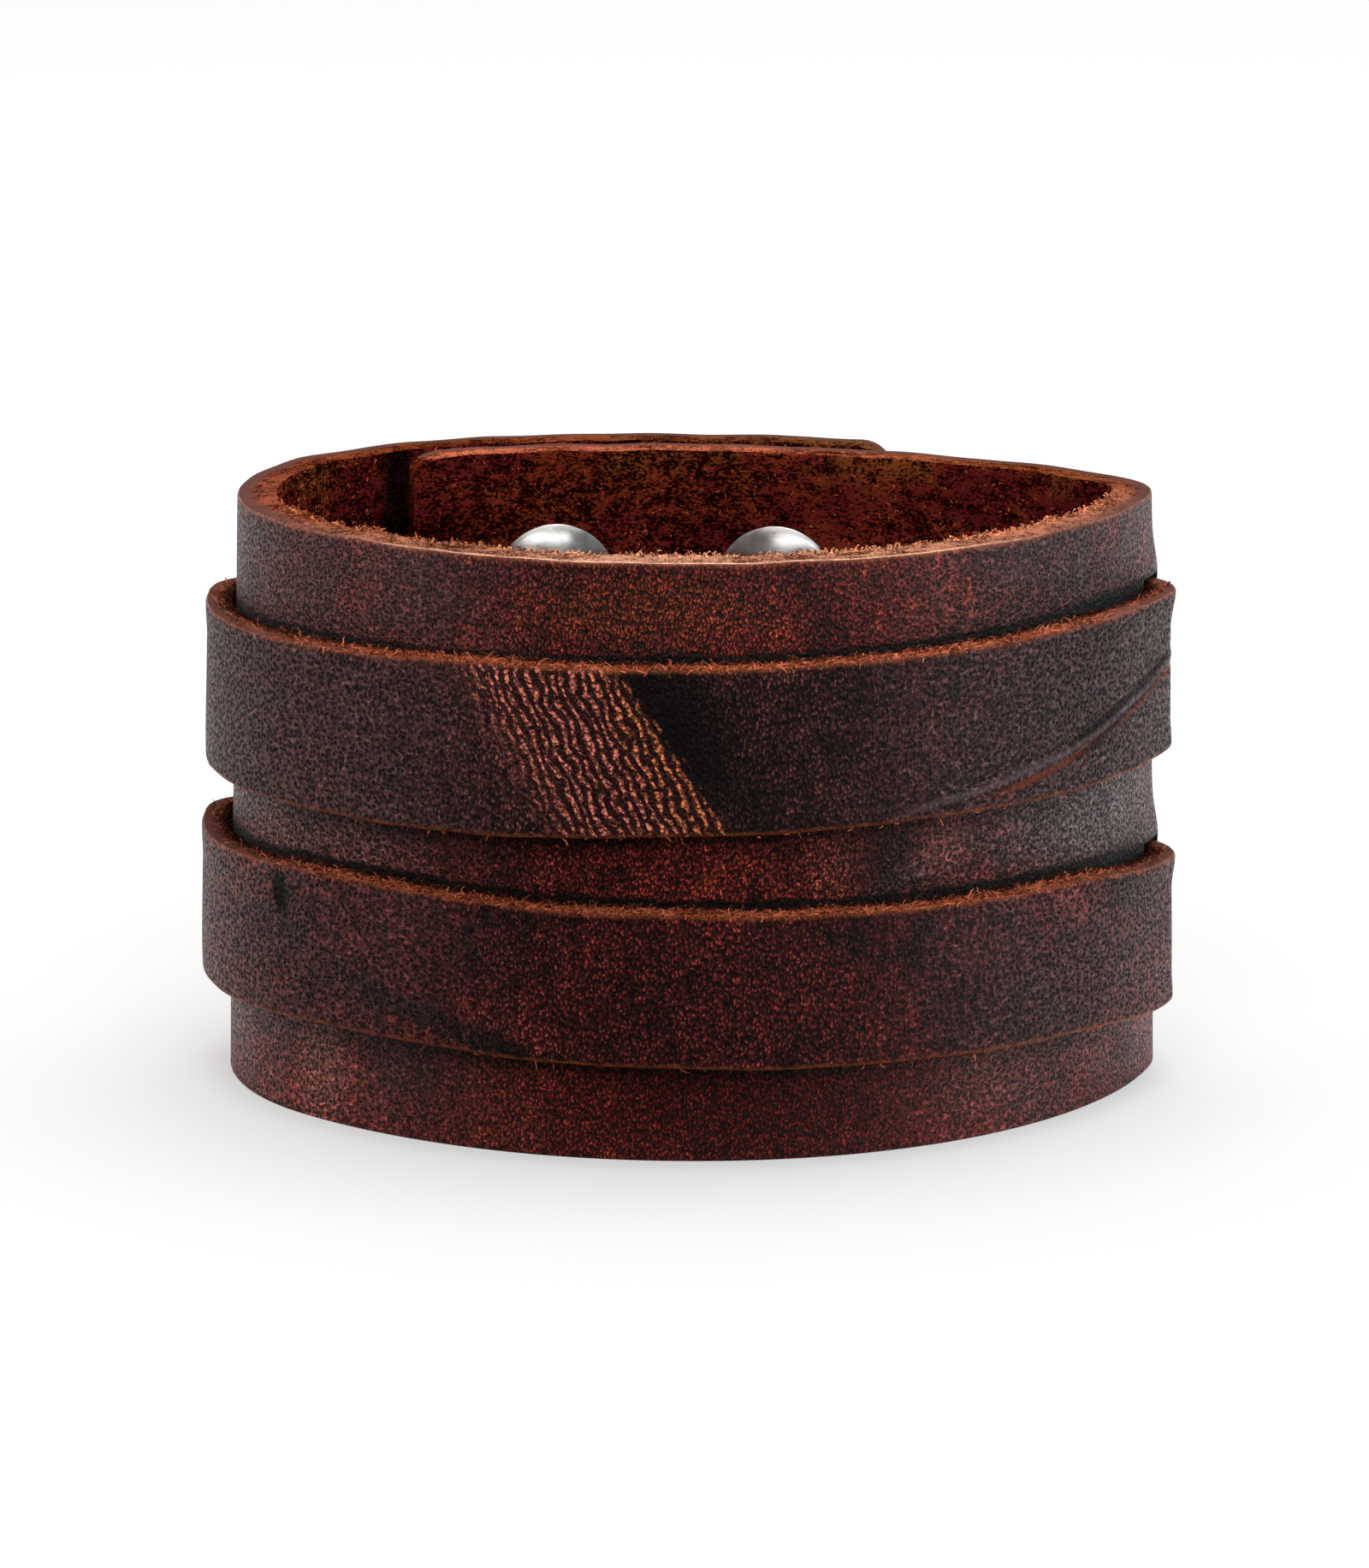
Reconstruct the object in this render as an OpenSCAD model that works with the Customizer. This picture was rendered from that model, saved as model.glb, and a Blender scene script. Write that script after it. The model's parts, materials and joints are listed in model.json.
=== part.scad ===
/* [Band] */
// Height of the band, from the lower rim to the upper rim
band_h = 44.5; // [42:0.5:50]
// Thickness of the band's leather
band_t = 3.0; // [2.4:0.1:3.2]
// Space between the two layers where the arms overlap
layer_gap = 1.0; // [0.9:0.1:1.4]
// Corner radius at the free end of each arm
end_corner_r = 2.6; // [1:0.2:5]

/* [Straps] */
// Thickness of the two straps
strap_t = 2.3; // [1.8:0.1:2.6]
// Width of the upper strap
upper_strap_w = 12.3; // [9:0.1:13]
// Height of the middle of the upper strap
upper_strap_z = 31.05; // [29:0.05:32]
// Tilt of the upper strap, right end up
upper_strap_tilt = 1.25; // [-1.5:0.05:1.5]
// Width of the lower strap
lower_strap_w = 11.5; // [9:0.1:12]
// Height of the middle of the lower strap
lower_strap_z = 13.35; // [12:0.05:14]
// Tilt of the lower strap, right end up
lower_strap_tilt = -0.9; // [-1.5:0.05:1.5]
// Space between the straps and the band
strap_gap = 0.35; // [0.3:0.05:0.45]
// Length of a strap's tail on the inside of the band
tail_length = 7.5; // [4:0.5:8]
// Middle radius of the turn with which a strap passes through the right corner
turn_r = 4.0; // [3.4:0.1:5]
// Middle radius of the two bends with which a strap dives through its left slit
dive_r = 3.4; // [3.2:0.1:4]
// Straight run of a strap between those bends
dive_run = 2.0; // [1.5:0.1:2.5]

/* [Snaps] */
// Diameter of the round flanges on the inside and the outside
flange_d = 9.5; // [8:0.1:10.5]
// Height of a flange's dome over the leather
flange_h = 1.3; // [0.8:0.1:1.6]
// Height of the upper row of snaps
upper_snap_z = 34.0; // [32:0.1:36]
// Height of the lower row of snaps
lower_snap_z = 10.5; // [9:0.1:12]
// Distance of the first column of snaps from the inner arm's free end
first_snap = 12.0; // [9:0.1:12.5]
// Distance between the two columns of snaps
snap_pitch = 17.9; // [15:0.1:18.4]

/* [Hidden] */
$fn = 96;

// The plan is one line, the outer face of the band. Both arms start at the middle of
// the front and run round to the back as arcs that meet with a common tangent. Each
// row is one arc: its radius and its sweep in degrees.
RADIUS = 0;
SWEEP = 1;
FRONT = [1.08, -24.24];
RIGHT_ARM = [
    [35.5, 47.0],
    [34.0, 28.0],
    [8.0, 66.5],
    [54.5, 31.0],
    [84.0, 10.0],
    [26.5, 28.2]
];
LEFT_ARM = [
    [40.0, 47.5],
    [21.5, 101.5],
    [30.0, 29.5],
    [93.0, 15.8]
];
// Length of the flats that follow these arcs, and the most that they turn
facet = 1.6;
facet_turn = 15;

// The corner of the right arm through which the straps turn. On the left, the arc on
// which they dive through the band, and the sweep of it that they still follow outside.
RIGHT_CORNER = 2;
LEFT_DIVE = [1, 50.0];

// Clearances and small sizes of the slits and the snaps
slit_side = 0.15;
slit_end = 0.4;
post_r = 1.6;
socket_r = 2.5;
socket_wall = 0.75;
collar_r = 3.4;
collar_t = 0.3;
flange_edge = 0.35;
seat_depth = 0.25;
hole_clear = 0.1;
past = 1;

BAND_COLOUR = [0.26, 0.11, 0.08];
STRAP_COLOUR = [0.22, 0.08, 0.06];
METAL_COLOUR = [0.75, 0.76, 0.78];

strap_off = strap_gap + strap_t / 2;

// A pose is x, y and heading. A row with no sweep is a straight run.
function unit(h) = [cos(h), sin(h)];
function outward(h) = [sin(h), -cos(h)];
function turn_centre(p, row) =
    [p[0], p[1]] - sign(row[SWEEP]) * row[RADIUS] * outward(p[2]);
function advance(p, row) =
    let (
        h = p[2] + row[SWEEP],
        xy = row[SWEEP] == 0
            ? [p[0], p[1]] + row[RADIUS] * unit(h)
            : turn_centre(p, row) + sign(row[SWEEP]) * row[RADIUS] * outward(h)
    )
    [xy[0], xy[1], h];
function pose_after(p, rows, n) =
    n == 0 ? p : advance(pose_after(p, rows, n - 1), rows[n - 1]);

// Length of a row, and the pose at a distance along a list of rows
function row_length(row) =
    row[SWEEP] == 0 ? row[RADIUS] : row[RADIUS] * abs(row[SWEEP]) * PI / 180;
function path_length(rows, i = 0) =
    i == len(rows) ? 0 : row_length(rows[i]) + path_length(rows, i + 1);
function pose_at(p, rows, s, i = 0) =
    s <= row_length(rows[i]) || i == len(rows) - 1
        ? advance(p, [rows[i][RADIUS], rows[i][SWEEP] * s / row_length(rows[i])])
        : pose_at(advance(p, rows[i]), rows, s - row_length(rows[i]), i + 1);

// A dive from one arc to another about the same centre: a bend inwards, a straight
// run and a bend back. Gives the sweeps of the first bend and of the second.
function dive(outer_r, inner_r) =
    let (
        first = outer_r - dive_r,
        second = inner_r + dive_r,
        apart = sqrt(dive_run * dive_run + 4 * dive_r * dive_r),
        between = acos((first * first + second * second - apart * apart) / (2 * first * second)),
        c1 = first * outward(0),
        c2 = second * outward(between),
        heading = atan2(c2[1] - c1[1], c2[0] - c1[0]) + atan2(2 * dive_r, dive_run)
    )
    [heading, heading - between];

// A turn through the wall at a corner of an arm. It is one arc that leaves the line outside
// the wall before the corner and meets the line inside the wall after it. Gives the
// headings at both ends.
function turn(arm, corner) =
    let (
        c1 = turn_centre(pose_after(band_start, arm, corner - 1), arm[corner - 1]),
        c2 = turn_centre(pose_after(band_start, arm, corner + 1), arm[corner + 1]),
        first = arm[corner - 1][RADIUS] + strap_off - turn_r,
        second = inside_radius(arm[corner + 1]) - turn_r,
        apart = norm(c2 - c1),
        along = (first * first - second * second + apart * apart) / (2 * apart),
        u = (c2 - c1) / apart,
        c = c1 + along * u + sqrt(first * first - along * along) * [-u[1], u[0]]
    )
    [atan2(c[0] - c1[0], c1[1] - c[1]), atan2(c[0] - c2[0], c2[1] - c[1])];

// Radius of a strap's middle line outside and inside the arc of a row
function outside_radius(row) = row[RADIUS] + strap_off;
function inside_radius(row) = row[RADIUS] - band_t - strap_off;

// The rows of a strap's middle line: outside the band, through it, and its tail
function followed(arm, n, sweep) = concat(
    [for (i = [0 : n - 1]) [outside_radius(arm[i]), arm[i][SWEEP]]],
    [[outside_radius(arm[n]), sweep]]
);
function outside_rows(is_left) =
    is_left
        ? followed(LEFT_ARM, LEFT_DIVE[0], LEFT_DIVE[1])
        : followed(
            RIGHT_ARM,
            RIGHT_CORNER - 1,
            turn(RIGHT_ARM, RIGHT_CORNER)[0] - pose_after(band_start, RIGHT_ARM, RIGHT_CORNER - 1)[2]
        );
function through_rows(is_left) =
    is_left
        ? let (row = LEFT_ARM[LEFT_DIVE[0]], bends = dive(outside_radius(row), inside_radius(row)))
            [[dive_r, bends[0]], [dive_run, 0], [dive_r, -bends[1]]]
        : let (
            bends = turn(RIGHT_ARM, RIGHT_CORNER),
            after = pose_after(band_start, RIGHT_ARM, RIGHT_CORNER + 1)[2]
        )
            [
                [turn_r, bends[1] - bends[0]],
                [inside_radius(RIGHT_ARM[RIGHT_CORNER + 1]), after - bends[1]]
            ];
function tail_rows(is_left) =
    let (r = inside_radius(is_left ? LEFT_ARM[LEFT_DIVE[0]] : RIGHT_ARM[RIGHT_CORNER + 1]))
    [[r, tail_length / r * 180 / PI]];
function strap_rows(is_left) =
    concat(outside_rows(is_left), through_rows(is_left), tail_rows(is_left));

strap_start = [0, FRONT[1] - strap_off, 0];
band_start = [0, FRONT[1], 0];

// Poses along a list of rows, a facet apart on its arcs
function steps(row) =
    row[SWEEP] == 0 ? 1 : ceil(max(row_length(row) / facet, abs(row[SWEEP]) / facet_turn));
function poses(p, rows) = concat(
    [p],
    [
        for (i = [0 : len(rows) - 1], k = [1 : steps(rows[i])])
            let (part = k / steps(rows[i]), turns = rows[i][SWEEP] != 0)
            advance(
                pose_after(p, rows, i),
                [rows[i][RADIUS] * (turns ? 1 : part), rows[i][SWEEP] * part]
            )
    ]
);
function offset_points(line, off) = [for (p = line) [p[0], p[1]] + off * outward(p[2])];
function reversed(list) = [for (i = [len(list) - 1 : -1 : 0]) list[i]];

// Plan of a wall that follows a line of poses, from one offset to another
module wall_plan(line, inside, out) {
    polygon(concat(offset_points(line, out), reversed(offset_points(line, -inside))));
}

// Line of poses from one end of a piece, through the front, to its other end. The left
// arm is walked like the right one and then mirrored.
function mirrored(line) = [for (p = line) [-p[0], p[1], -p[2]]];
function both_arms(start, right_rows, left_rows) = concat(
    reversed(mirrored(poses(start, left_rows))),
    [for (i = [1 : len(poses(start, right_rows)) - 1]) poses(start, right_rows)[i]]
);

module arm_side(is_left) {
    translate([FRONT[0], 0, 0]) mirror([is_left ? 1 : 0, 0, 0]) children();
}

module tilted(z, tilt) {
    translate([0, 0, z]) rotate([0, -tilt, 0]) translate([0, 0, -z]) children();
}

// Cutter for the two corners at the free end of an arm, from inside to out of its face
module end_corners(arm, inside, out) {
    p = pose_after(band_start, arm, len(arm));
    translate([p[0], p[1], 0]) rotate([0, 0, p[2]]) for (top = [false, true]) {
        z = top ? band_h - end_corner_r : end_corner_r;
        translate([-end_corner_r, 0, z]) difference() {
            translate([0, -out, top ? 0 : -end_corner_r - past])
                cube([end_corner_r + past, inside + out, end_corner_r + past]);
            rotate([90, 0, 0])
                cylinder(r = end_corner_r, h = 2 * (inside + out) + past, center = true);
        }
    }
}

// Room for one strap at the two places where it dives through the band
module strap_slits(z, w, tilt) {
    half = strap_t / 2 + slit_side;
    for (is_left = [false, true]) {
        outside = outside_rows(is_left);
        start = pose_after(strap_start, outside, len(outside));
        tilted(z, tilt) arm_side(is_left) translate([0, 0, z - w / 2 - slit_end])
            linear_extrude(height = w + 2 * slit_end)
                wall_plan(poses(start, through_rows(is_left)), half, half);
    }
}

// Puts children on the inner arm: X points out through both layers from that arm's
// outer face, at a distance s from its free end and at height z
module on_inner_arm(s, z) {
    p = pose_at(band_start, RIGHT_ARM, path_length(RIGHT_ARM) - s);
    arm_side(false) translate([p[0], p[1], z]) rotate([0, 0, p[2] - 90]) children();
}

// A round bar along X from one place to another
module bar(from, to, r) {
    translate([from, 0, 0]) rotate([0, 90, 0]) cylinder(r = r, h = to - from);
}

// Domed flange with its flat side at x = 0 and its dome towards +X
module flange() {
    r = flange_d / 2;
    rise = flange_h - flange_edge;
    dome_r = (r * r + rise * rise) / (2 * rise);
    rotate([0, 90, 0]) rotate_extrude() intersection() {
        square([r, flange_h]);
        translate([0, flange_h - dome_r]) circle(r = dome_r, $fn = 4 * $fn);
    }
}

// Stud: inside flange, post through the inner arm, collar and round head
module stud(s, z) {
    on_inner_arm(s, z) {
        inside = -band_t + seat_depth - hole_clear;
        translate([inside, 0, 0]) mirror([1, 0, 0]) flange();
        bar(inside - collar_t, layer_gap + band_t / 2, post_r);
        bar(hole_clear, hole_clear + collar_t, collar_r);
    }
}

// Cap: outside flange with a socket that takes the stud's head
module cap(s, z) {
    outside = layer_gap + band_t - seat_depth + hole_clear;
    inside = layer_gap - hole_clear - collar_t;
    on_inner_arm(s, z) {
        translate([outside, 0, 0]) flange();
        difference() {
            union() {
                bar(inside, outside + collar_t, socket_r);
                bar(inside, inside + collar_t, collar_r);
            }
            bar(inside - past, outside - socket_wall, socket_r - socket_wall);
        }
    }
}

// Holes and pressed seats in the leather for one snap
module snap_room(s, z) {
    seat_r = flange_d / 2 + hole_clear;
    on_inner_arm(s, z) {
        bar(-band_t - past, layer_gap / 2, post_r + hole_clear);
        bar(layer_gap / 2, layer_gap + band_t + past, socket_r + hole_clear);
        bar(-band_t - past, -band_t + seat_depth, seat_r);
        bar(layer_gap + band_t - seat_depth, layer_gap + band_t + past, seat_r);
    }
}

module band() {
    apart = layer_gap / 2;
    color(BAND_COLOUR) difference() {
        translate([FRONT[0], 0, 0]) linear_extrude(height = band_h)
            wall_plan(both_arms(band_start, RIGHT_ARM, LEFT_ARM), band_t, 0);
        arm_side(false) end_corners(RIGHT_ARM, band_t + past, apart);
        arm_side(true) end_corners(LEFT_ARM, band_t + apart, past);
        strap_slits(upper_strap_z, upper_strap_w, upper_strap_tilt);
        strap_slits(lower_strap_z, lower_strap_w, lower_strap_tilt);
        for (s = [first_snap, first_snap + snap_pitch], z = [upper_snap_z, lower_snap_z]) {
            snap_room(s, z);
        }
    }
}

module strap(z, w, tilt) {
    line = both_arms(strap_start, strap_rows(false), strap_rows(true));
    color(STRAP_COLOUR) tilted(z, tilt) translate([FRONT[0], 0, z - w / 2])
        linear_extrude(height = w) wall_plan(line, strap_t / 2, strap_t / 2);
}

module strap_upper() {
    strap(upper_strap_z, upper_strap_w, upper_strap_tilt);
}

module strap_lower() {
    strap(lower_strap_z, lower_strap_w, lower_strap_tilt);
}

module snap_stud(column, z) {
    color(METAL_COLOUR) stud(first_snap + column * snap_pitch, z);
}

module snap_cap(column, z) {
    color(METAL_COLOUR) cap(first_snap + column * snap_pitch, z);
}

band();
strap_upper();
strap_lower();
snap_stud(0, upper_snap_z);  // stud_upper_left
snap_stud(1, upper_snap_z);  // stud_upper_right
snap_stud(0, lower_snap_z);  // stud_lower_left
snap_stud(1, lower_snap_z);  // stud_lower_right
snap_cap(0, upper_snap_z);  // cap_upper_left
snap_cap(1, upper_snap_z);  // cap_upper_right
snap_cap(0, lower_snap_z);  // cap_lower_left
snap_cap(1, lower_snap_z);  // cap_lower_right
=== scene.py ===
# %% [markdown]
# # A leather cuff bracelet
#
# The bracelet is a wide band of thick leather. Its two ends lap over each other at the back,
# where four metal snaps close them, and two narrow straps run round its outside and pass in
# through slits near its sides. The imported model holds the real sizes. This lesson dresses it:
# each piece of leather is cut flat, as on a maker's bench, and then bent into its place.

import json
import math
import random

import bmesh
import bpy
from mathutils import Matrix, Quaternion, Vector, noise

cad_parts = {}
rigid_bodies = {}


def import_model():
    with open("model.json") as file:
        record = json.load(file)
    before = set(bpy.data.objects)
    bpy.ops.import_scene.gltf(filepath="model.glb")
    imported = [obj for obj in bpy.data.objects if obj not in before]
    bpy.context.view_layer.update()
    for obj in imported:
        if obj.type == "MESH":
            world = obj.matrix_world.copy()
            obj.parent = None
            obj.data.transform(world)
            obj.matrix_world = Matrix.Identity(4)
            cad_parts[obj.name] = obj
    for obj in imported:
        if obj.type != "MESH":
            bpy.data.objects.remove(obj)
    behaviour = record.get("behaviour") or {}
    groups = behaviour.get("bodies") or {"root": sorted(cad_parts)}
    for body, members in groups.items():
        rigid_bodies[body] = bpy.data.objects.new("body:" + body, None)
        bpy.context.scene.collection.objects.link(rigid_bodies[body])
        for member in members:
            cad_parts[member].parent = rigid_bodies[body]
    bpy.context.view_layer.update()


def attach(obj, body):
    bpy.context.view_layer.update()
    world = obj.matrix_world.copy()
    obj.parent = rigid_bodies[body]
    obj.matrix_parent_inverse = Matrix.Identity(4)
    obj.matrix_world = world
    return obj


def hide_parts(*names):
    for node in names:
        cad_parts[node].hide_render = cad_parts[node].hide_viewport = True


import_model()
MM = 0.001

# %% [markdown]
# ## The plan of the band
#
# Seen from above the band is one line, the grain face of the leather. It could be a spline
# with many points, but a band that is bent by hand is a row of arcs that meet with a common
# tangent, so the plan is two short tables of radius and sweep, one for each arm. Both start
# in the middle of the front. A place on the leather is then just a distance along its arm, and
# an amount out from the line. Sizes here are in millimetres.

# %% Walk along rows of arcs
FRONT = Vector((1.08, -24.24))
RIGHT_ARM = [(35.5, 47.0), (34.0, 28.0), (8.0, 66.5), (54.5, 31.0), (84.0, 10.0), (26.5, 28.2)]
LEFT_ARM = [(40.0, 47.5), (21.5, 101.5), (30.0, 29.5), (93.0, 15.8)]


def outward(heading):
    return Vector((math.sin(heading), -math.cos(heading)))


def forward(heading):
    return Vector((math.cos(heading), math.sin(heading)))


def lay_out(rows, out=0.0):
    """Runs along rows of radius and sweep. A row with no sweep is a straight run."""
    runs, at, heading, gone = [], Vector((0.0, FRONT.y - out)), 0.0, 0.0
    for radius, sweep in rows:
        turn = math.radians(sweep)
        bend = math.copysign(radius, turn) if turn else 0.0
        length = abs(radius * turn) if turn else radius
        pivot = at - bend * outward(heading)
        runs.append({"start": gone, "end": gone + length, "at": at, "pivot": pivot,
                     "heading": heading, "bend": bend})
        heading += turn
        at = pivot + bend * outward(heading) if turn else at + length * forward(heading)
        gone += length
    return runs


def point_on(runs, distance, out):
    """The point and the heading at a distance along some runs, moved out from their line."""
    run = next((r for r in runs if distance <= r["end"]), runs[-1])
    along = distance - run["start"]
    if not run["bend"]:
        flat = run["at"] + along * forward(run["heading"])
        return flat + out * outward(run["heading"]), run["heading"]
    heading = run["heading"] + along / run["bend"]
    return run["pivot"] + (run["bend"] + out) * outward(heading), heading


SIDES = {"right": 1, "left": -1}


def on_plan(arms, s, out):
    """The same on a piece with two arms. The left arm has s below 0 and is mirrored."""
    arm = "right" if s >= 0 else "left"
    point, heading = point_on(arms[arm], abs(s), out)
    return Vector((FRONT.x + SIDES[arm] * point.x, point.y)), SIDES[arm] * heading


band_arms = {"right": lay_out(RIGHT_ARM), "left": lay_out(LEFT_ARM)}
BAND_RIGHT = band_arms["right"][-1]["end"]
BAND_LEFT = -band_arms["left"][-1]["end"]
print("band cut", round(BAND_RIGHT - BAND_LEFT, 1), "mm long")

# %% [markdown]
# ## The route of a strap
#
# A strap follows the band on the outside, passes in through a slit, and ends as a short tail on
# the inside. On the left it dives with two equal bends and a straight run between them. On the
# right the band has a sharp corner, and the strap simply turns tighter than the band does, so
# one arc takes it from the outside to the inside. Both routes follow from where circles touch:
# every arc here meets the next with a common tangent, so its centre has a known distance
# from the centres of its neighbours.

# %% Lay out the straps
BAND_T = 3.0
STRAP_T = 2.3
STRAP_OUT = 0.35 + STRAP_T / 2
TURN_R = 4.0
DIVE_R = 3.4
DIVE_RUN = 2.0
TAIL = 7.5
RIGHT_CORNER = 2
LEFT_DIVE = (1, 50.0)


def heading_of(spoke):
    return math.atan2(spoke.x, -spoke.y)


def right_rows():
    arm, k = RIGHT_ARM, RIGHT_CORNER
    before, after = band_arms["right"][k - 1], band_arms["right"][k + 1]
    tail_r = arm[k + 1][0] - BAND_T - STRAP_OUT
    first, second = arm[k - 1][0] + STRAP_OUT - TURN_R, tail_r - TURN_R
    apart = after["pivot"] - before["pivot"]
    along = (first**2 - second**2 + apart.length_squared) / (2 * apart.length)
    side = Vector((-apart.y, apart.x)).normalized()
    centre = before["pivot"] + along * apart.normalized() + math.sqrt(first**2 - along**2) * side
    leave = math.degrees(heading_of(centre - before["pivot"]))
    meet = math.degrees(heading_of(centre - after["pivot"]))
    rows = [(radius + STRAP_OUT, sweep) for radius, sweep in arm[: k - 1]]
    rows += [(arm[k - 1][0] + STRAP_OUT, leave - math.degrees(before["heading"]))]
    past = math.degrees(after["heading"]) - meet + math.degrees(TAIL / tail_r)
    return rows + [(TURN_R, meet - leave), (tail_r, past)]


def left_rows():
    arc, swept = LEFT_DIVE
    outer, inner = LEFT_ARM[arc][0] + STRAP_OUT, LEFT_ARM[arc][0] - BAND_T - STRAP_OUT
    first, second = outer - DIVE_R, inner + DIVE_R
    apart = math.hypot(DIVE_RUN, 2 * DIVE_R)
    spread = math.acos((first**2 + second**2 - apart**2) / (2 * first * second))
    across = second * outward(spread) - first * outward(0)
    turn = math.degrees(math.atan2(across.y, across.x) + math.atan2(2 * DIVE_R, DIVE_RUN))
    rows = [(radius + STRAP_OUT, sweep) for radius, sweep in LEFT_ARM[:arc]]
    rows += [(outer, swept), (DIVE_R, turn), (DIVE_RUN, 0.0)]
    return rows + [(DIVE_R, math.degrees(spread) - turn), (inner, math.degrees(TAIL / inner))]


strap_arms = {
    "right": lay_out(right_rows(), STRAP_OUT),
    "left": lay_out(left_rows(), STRAP_OUT),
}
STRAP_RIGHT = strap_arms["right"][-1]["end"]
STRAP_LEFT = -strap_arms["left"][-1]["end"]
print("strap cut", round(STRAP_RIGHT - STRAP_LEFT, 1), "mm long")

# %% [markdown]
# ## How the leather stands
#
# The cuff is a little wider at its lower rim than at its upper rim, more on the left than on
# the right, and nothing on it is truly even. If every piece were moved by its own noise, the
# straps would cut into the band. So one function moves every place of the finished cuff, and
# pieces that lie on each other stay on each other. The noise gets a seed, because without one
# it takes its start from the clock, and the cuff would stand a little differently each time.

# %% Lean and unevenness that all pieces share
BAND_H = 44.5
LEAN_LEFT = 0.018
LEAN_RIGHT = 0.011
LEAN_DEEP = 0.024
DRIFT = 0.16
DRIFT_LENGTH = 24.0
DRIFT_SEED = 18
noise.seed_set(DRIFT_SEED)


def ease(value, low, high):
    """0 below low, 1 above high and smooth between them."""
    t = min(1.0, max(0.0, (value - low) / (high - low)))
    return t * t * (3 - 2 * t)


def between(value, a, b, c, d):
    """0 outside a to d, 1 from b to c and smooth between them."""
    return ease(value, a, b) * (1 - ease(value, c, d))


def eased(table, s):
    """A value from a table of places and values, smooth between its rows."""
    for (s0, a), (s1, b) in zip(table, table[1:]):
        if s < s1:
            return a + (b - a) * ease(s, s0, s1)
    return table[-1][1]


def stand(point, z):
    """A place of the finished cuff, from a point of the plan and a height."""
    down = 1 - 2 * z / BAND_H
    wide = LEAN_LEFT * down if point.x < 0 else LEAN_RIGHT * (1 + down)
    place = Vector((point.x * (1 + wide), point.y * (1 + LEAN_DEEP * down), z))
    drift = noise.noise_vector(place / DRIFT_LENGTH)
    return place + DRIFT * Vector((drift.x, drift.y, 0.0))


# %% [markdown]
# ## Cut the leather flat
#
# A hide is cut while it lies flat, because then its outline is simple. A grid of small square
# faces is the sheet: x runs along the leather, z is the height, and y is the depth below the
# grain face. Slits and holes are punched by deleting faces after the nearest lines of the grid
# have been moved onto the cut, so every cut edge is clean. A boolean could cut them too, but it
# would leave long thin faces that crease when the leather is bent.

# %% Sheet, slits, holes and corners
TOUCHING = 1e-4


def flat_sheet(s_from, s_to, z_from, z_to, cell):
    bm = bmesh.new()
    columns, rows = round((s_to - s_from) / cell), round((z_to - z_from) / cell)
    bmesh.ops.create_grid(bm, x_segments=columns, y_segments=rows, size=1.0)
    half = Vector(((s_to - s_from) / 2, (z_to - z_from) / 2, 1.0))
    bmesh.ops.scale(bm, vec=half, verts=bm.verts)
    bmesh.ops.rotate(bm, matrix=Matrix.Rotation(math.pi / 2, 3, "X"), verts=bm.verts)
    middle = Vector(((s_from + s_to) / 2, 0.0, (z_from + z_to) / 2))
    bmesh.ops.translate(bm, vec=middle, verts=bm.verts)
    return bm


def line_up(bm, axis, value):
    """Moves the grid line nearest to a value onto it."""
    nearest = min((v.co[axis] for v in bm.verts), key=lambda c: abs(c - value))
    for v in bm.verts:
        if abs(v.co[axis] - nearest) < TOUCHING:
            v.co[axis] = value


def punch_slit(bm, s_from, s_to, z_from, z_to):
    for axis, value in ((0, s_from), (0, s_to), (2, z_from), (2, z_to)):
        line_up(bm, axis, value)
    centres = ((f, f.calc_center_median()) for f in bm.faces)
    gone = [f for f, c in centres if s_from < c.x < s_to and z_from < c.z < z_to]
    bmesh.ops.delete(bm, geom=gone, context="FACES")


def punch_hole(bm, s, z, radius, cell):
    middle = Vector((s, 0.0, z))
    gone = [f for f in bm.faces if (f.calc_center_median() - middle).length < radius]
    rim = {v for f in gone for v in f.verts}
    bmesh.ops.delete(bm, geom=gone, context="FACES")
    for v in rim:
        if v.is_valid and (v.co - middle).length < radius + 2 * cell:
            v.co = middle + radius * (v.co - middle).normalized()


def round_corner(bm, s, z, toward_s, toward_z, run, drop):
    """Draws the square corner at s and z in to a quarter of an ellipse."""
    for v in bm.verts:
        a = 1 - abs(v.co.x - s) / run
        b = 1 - abs(v.co.z - z) / drop
        if 0 < a <= 1 + TOUCHING and 0 < b <= 1 + TOUCHING:
            v.co.x = s - toward_s * run * (1 - a * math.sqrt(1 - b * b / 2))
            v.co.z = z - toward_z * drop * (1 - b * math.sqrt(1 - a * a / 2))


# %% [markdown]
# ## Give it its thickness
#
# Solidify makes the flesh side and the cut edges in one step. The cut edges are subdivided, so
# that they can be uneven later. The grain side of an edge is then bevelled wide, because it is
# rubbed round, and the flesh side only a little, because it stays raw. Before anything is moved,
# each point keeps its place on the flat leather in an attribute, in millimetres: along, height
# and depth. The finishes read it, so grain, creases and stains follow the leather round.

# %% Thickness, edges and the map of the leather
GRAIN, EDGE, FLESH = 0, 1, 2
GRAIN_FACING = -0.45
FLESH_FACING = 0.8
RIM_CUTS = 5
SHARP = 1.0


def sharp_edges(bm, depth):
    return [
        e for e in bm.edges
        if e.is_manifold and e.calc_face_angle() > SHARP
        and all(abs(v.co.y - depth) < TOUCHING for v in e.verts)
    ]


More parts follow.
